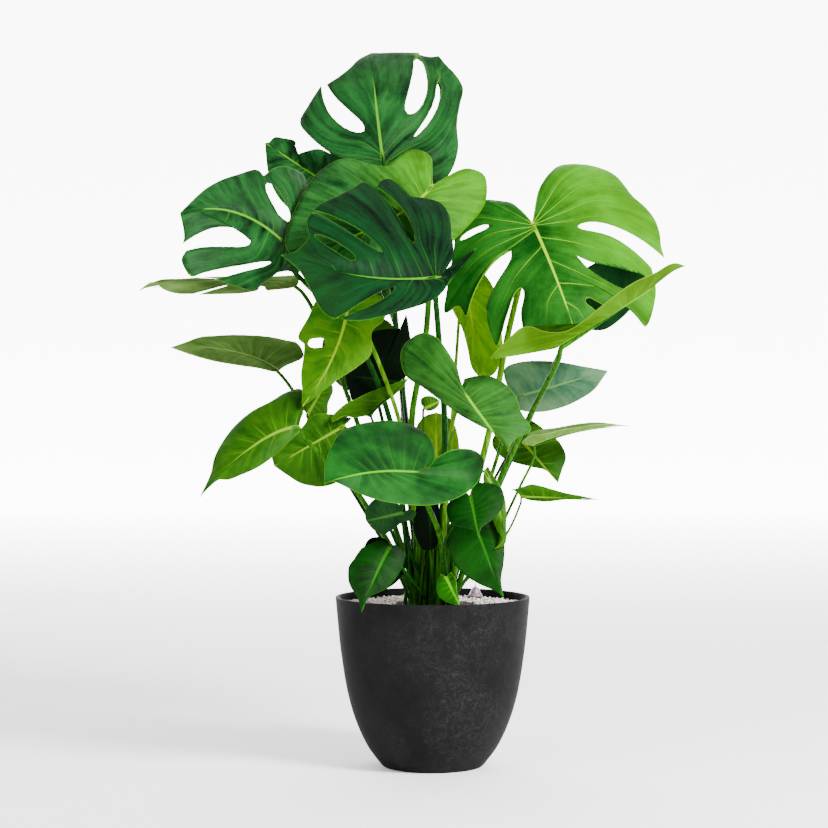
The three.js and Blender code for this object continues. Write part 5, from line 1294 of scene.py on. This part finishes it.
# Tints: each with its slot and its leaves; then deep, light and sunlit tone of the upper face, vein, how much the
# side veins show, how much the panels are streaked, roughness, gloss, the light that comes through and how much, and
# the underside. Colours are as they are seen, 0 to 255.
TINTS = {
    "crown": ("leaf_dark", "crown far_left back_left rear_high",
        (6, 60, 30), (100, 158, 106), (70, 140, 70), (156, 200, 90),
        0.3, 0.5, 0.46, 0.03, (70, 150, 30), 0.08, (64, 110, 60)),
    "night_green": ("leaf_dark", "dark_split behind_bright",
        (0, 24, 14), (50, 118, 76), (62, 116, 68), (140, 196, 70),
        0.2, 0.55, 0.46, 0.02, (40, 110, 30), 0.04, (40, 84, 50)),
    "split": ("leaf_bright", "light_split",
        (30, 92, 48), (118, 174, 116), (150, 206, 30), (190, 216, 80),
        0.45, 0.5, 0.46, 0.03, (120, 190, 30), 0.12, (100, 150, 70)),
    "sunny": ("leaf_bright", "bright_right",
        (36, 108, 30), (112, 174, 96), (154, 210, 0), (204, 230, 40),
        0.6, 0.35, 0.46, 0.03, (120, 190, 10), 0.12, (120, 172, 70)),
    "lime": ("leaf_lime", "lime",
        (92, 156, 0), (170, 206, 20), (180, 214, 60), (214, 230, 110),
        0.5, 0.4, 0.5, 0.06, (180, 210, 20), 0.3, (160, 196, 60)),
    "heart": ("leaf_mid", "front_heart rear_middle rear_low",
        (14, 84, 36), (88, 158, 88), (80, 150, 80), (160, 212, 50),
        0.14, 0.14, 0.5, 0.05, (90, 160, 40), 0.08, (84, 120, 60)),
    "sheen": ("leaf_dark", "drooping",
        (24, 86, 34), (118, 172, 100), (120, 180, 90), (176, 216, 80),
        0.18, 0.32, 0.5, 0.05, (90, 160, 40), 0.08, (84, 120, 60)),
    "olive": ("leaf_mid", "low_left fold_left under_left tiny fold_right small_right sliver narrow_right",
        (60, 116, 0), (124, 170, 40), (120, 166, 60), (180, 204, 100),
        0.35, 0.3, 0.5, 0.04, (110, 160, 20), 0.12, (98, 138, 46)),
    "fresh": ("leaf_mid", "sprout",
        (30, 112, 0), (92, 172, 20), (120, 180, 40), (170, 210, 40),
        0.3, 0.25, 0.46, 0.05, (130, 190, 20), 0.14, (98, 150, 46)),
    "grey": ("leaf_mid", "edge_left flat_left edge_right",
        (128, 158, 104), (180, 200, 150), (150, 170, 120), (206, 220, 170),
        0.3, 0.3, 0.6, 0.0, (150, 180, 110), 0.1, (164, 188, 128)),
    "pale": ("leaf_mid", "turned_right",
        (34, 88, 0), (98, 138, 38), (206, 218, 144), (200, 214, 130),
        0.25, 0.6, 0.6, 0.0, (140, 176, 50), 0.1, (130, 166, 60)),
    "muted": ("leaf_dark", "dark_right",
        (104, 142, 120), (164, 186, 158), (90, 130, 90), (160, 190, 140),
        0.16, 0.25, 0.6, 0.01, (80, 130, 60), 0.06, (84, 114, 70)),
    "lime_shaded": ("leaf_mid", "olive_centre",
        (118, 156, 48), (172, 198, 86), (190, 216, 60), (206, 222, 110),
        0.4, 0.4, 0.5, 0.0, (180, 210, 20), 0.3, (160, 196, 60)),
    "lime_back": ("leaf_lime", "young_lime",
        (136, 186, 20), (204, 230, 60), (190, 216, 60), (220, 236, 110),
        0.4, 0.45, 0.5, 0.0, (180, 210, 20), 0.3, (176, 212, 70)),
    "dull": ("leaf_mid", "curl_low",
        (50, 100, 66), (100, 142, 100), (90, 130, 90), (126, 166, 106),
        0.12, 0.2, 0.6, 0.02, (80, 130, 60), 0.06, (84, 114, 70)),
    "deep": ("leaf_mid", "low_front low_heart low_right",
        (8, 66, 2), (58, 126, 40), (84, 150, 54), (96, 160, 50),
        0.16, 0.2, 0.46, 0.04, (60, 120, 10), 0.06, (50, 84, 30)),
    # Painted shade: the leaves deep in the plant's shade get a nearly black green.
    "night": ("leaf_dark", "shade low_shade dark_low",
        (0, 24, 6), (12, 54, 20), (24, 60, 30), (44, 90, 30),
        0.1, 0.2, 0.5, 0.02, (30, 60, 10), 0.04, (30, 56, 26)),
}
OTHER_SLOT = {"low_heart": "leaf_dark"}
UNDERSIDE = {"vein_part": 0.4, "streaks": 0.3, "roughness": 0.6, "gloss": 0.0, "ridge": -0.4}
UNDERSIDE_LIFT, UNDERSIDE_VEIN_LIFT = 24, 50
# Where the light falls on a leaf: from where to where across the picture, on lines that slant towards the top right
SUN_SLANT = 0.6
SUNLIT = {"bright_right": (290, 500), "light_split": (110, 350), "turned_right": (280, 500), "low_right": (240, 80),
          "dark_split": (300, 120)}
# How bright the deep tone of a sunlit face is beside its light tone
SUN_SHADE = 0.78
# The heights in metres between which the painted shade of the clump fades
CLUMP_SHADE = (0.3, 0.48)
STALK_TINTS = {"dark": ((24, 84, 24), (62, 128, 44)), "mid": ((64, 120, 28), (116, 166, 50)),
               "pale": ((110, 158, 30), (172, 204, 70))}
PALE_STALKS = "bright_right lime young_lime drooping".split()
MID_STALKS = ("front_heart low_left light_split edge_right turned_right dark_right edge_left tiny narrow_right "
              "flat_left").split()


def make_leaves():
    leaves = [Leaf(drawn) for drawn in LEAVES]
    routes = ease_stalks(leaves)
    stalks = {key: stalk_finish(f"stalk_{key}", *colours) for key, colours in STALK_TINTS.items()}
    for tint, (slot, names, *face, glow, part, under) in TINTS.items():
        upper = leaf_finish(f"leaf_{tint}_upper", *face, glow, part)
        pale, vein = (tuple(min(255, c + more) for c in under) for more in (UNDERSIDE_LIFT, UNDERSIDE_VEIN_LIFT))
        lower = leaf_finish(f"leaf_{tint}_underside", under, pale, pale, vein, glow=glow, glow_part=part, **UNDERSIDE)
        for leaf, route in zip(leaves, routes):
            if leaf.name in names.split():
                tone = "pale" if leaf.name in PALE_STALKS else "mid" if leaf.name in MID_STALKS else "dark"
                make_leaf(leaf, route, [upper, lower, stalks[tone]], OTHER_SLOT.get(leaf.name, slot))
    return [route["levels"][0] for route in routes]


def make_sheaths(feet):
    """The dried sheaths and young shoots between the stalks' feet: slim cones, drawn out flat."""
    draw = random.Random(SHEATH_SEED)
    sheaths = []
    for k in range(SHEATH_COUNT):
        foot = draw.choice(feet)
        height = draw.uniform(*SHEATH_HEIGHT)
        x, y = (c * SHEATH_PULL + draw.uniform(-SHEATH_STRAY, SHEATH_STRAY) for c in foot.xy)
        middle = MOUND_LEVEL - SHEATH_BURIED + height / 2
        radius = draw.uniform(*SHEATH_RADIUS)
        turns = [draw.uniform(low, high) for low, high in SHEATH_TURNS]
        deselect()
        bpy.ops.mesh.primitive_cone_add(vertices=SHEATH_SIDES, radius1=radius * MM, radius2=SHEATH_TIP * MM,
                                        depth=height * MM, location=(x * MM, y * MM, middle * MM), rotation=turns)
        sheath = bpy.context.object
        sheath.scale = (1, SHEATH_FLATNESS, 1)
        settle()
        bpy.ops.object.shade_smooth_by_angle(angle=SHEATH_SMOOTH_BELOW)
        sheaths.append(sheath)
    clump = sheaths[0]
    take(clump)
    for sheath in sheaths[1:]:
        sheath.select_set(True)
    bpy.ops.object.join()
    clump.name = clump.data.name = "clump_sheaths"
    paint_over(clump, stalk_finish("sheath_dark", (64, 120, 40), (126, 184, 66)))
    place_in_part(clump, "leaf_dark")


def make_studio():
    """A pale floor that meets a backdrop, soft light from the right, and weaker light from the left and from behind."""
    finish = card_finish()
    cards = {"floor": ((0, 0, 0), 0, 1), "backdrop": ((0, BACKDROP_PLACE, BACKDROP_PLACE / 2), math.pi / 2, 0.5)}
    for name, (place, turn, part) in cards.items():
        deselect()
        bpy.ops.mesh.primitive_plane_add(size=2 * BACKDROP_PLACE, location=place, rotation=(turn, 0, 0))
        card = bpy.context.object
        card.name = name
        card.scale = (1, part, 1)
        settle()
        card.data.materials.append(finish)
    world = bpy.data.worlds.new("studio")
    bpy.context.scene.world = world
    world.use_nodes = True
    sky = world.node_tree.nodes["Background"]
    sky.inputs["Color"].default_value = (1, 1, 1, 1)
    sky.inputs["Strength"].default_value = WORLD_LIGHT
    for name, (place, size, power) in LIGHTS.items():
        lamp = add(name, bpy.data.lights.new(name, "AREA"))
        lamp.data.size = size
        lamp.data.energy = power
        lamp.location = place
        lamp.rotation_euler = (Vector(LAMP_AIM) - Vector(place)).to_track_quat("-Z", "Y").to_euler()


make_planter()
make_gauge()
make_gravel()
feet = make_leaves()
make_sheaths(feet)
make_soil(feet)
make_studio()
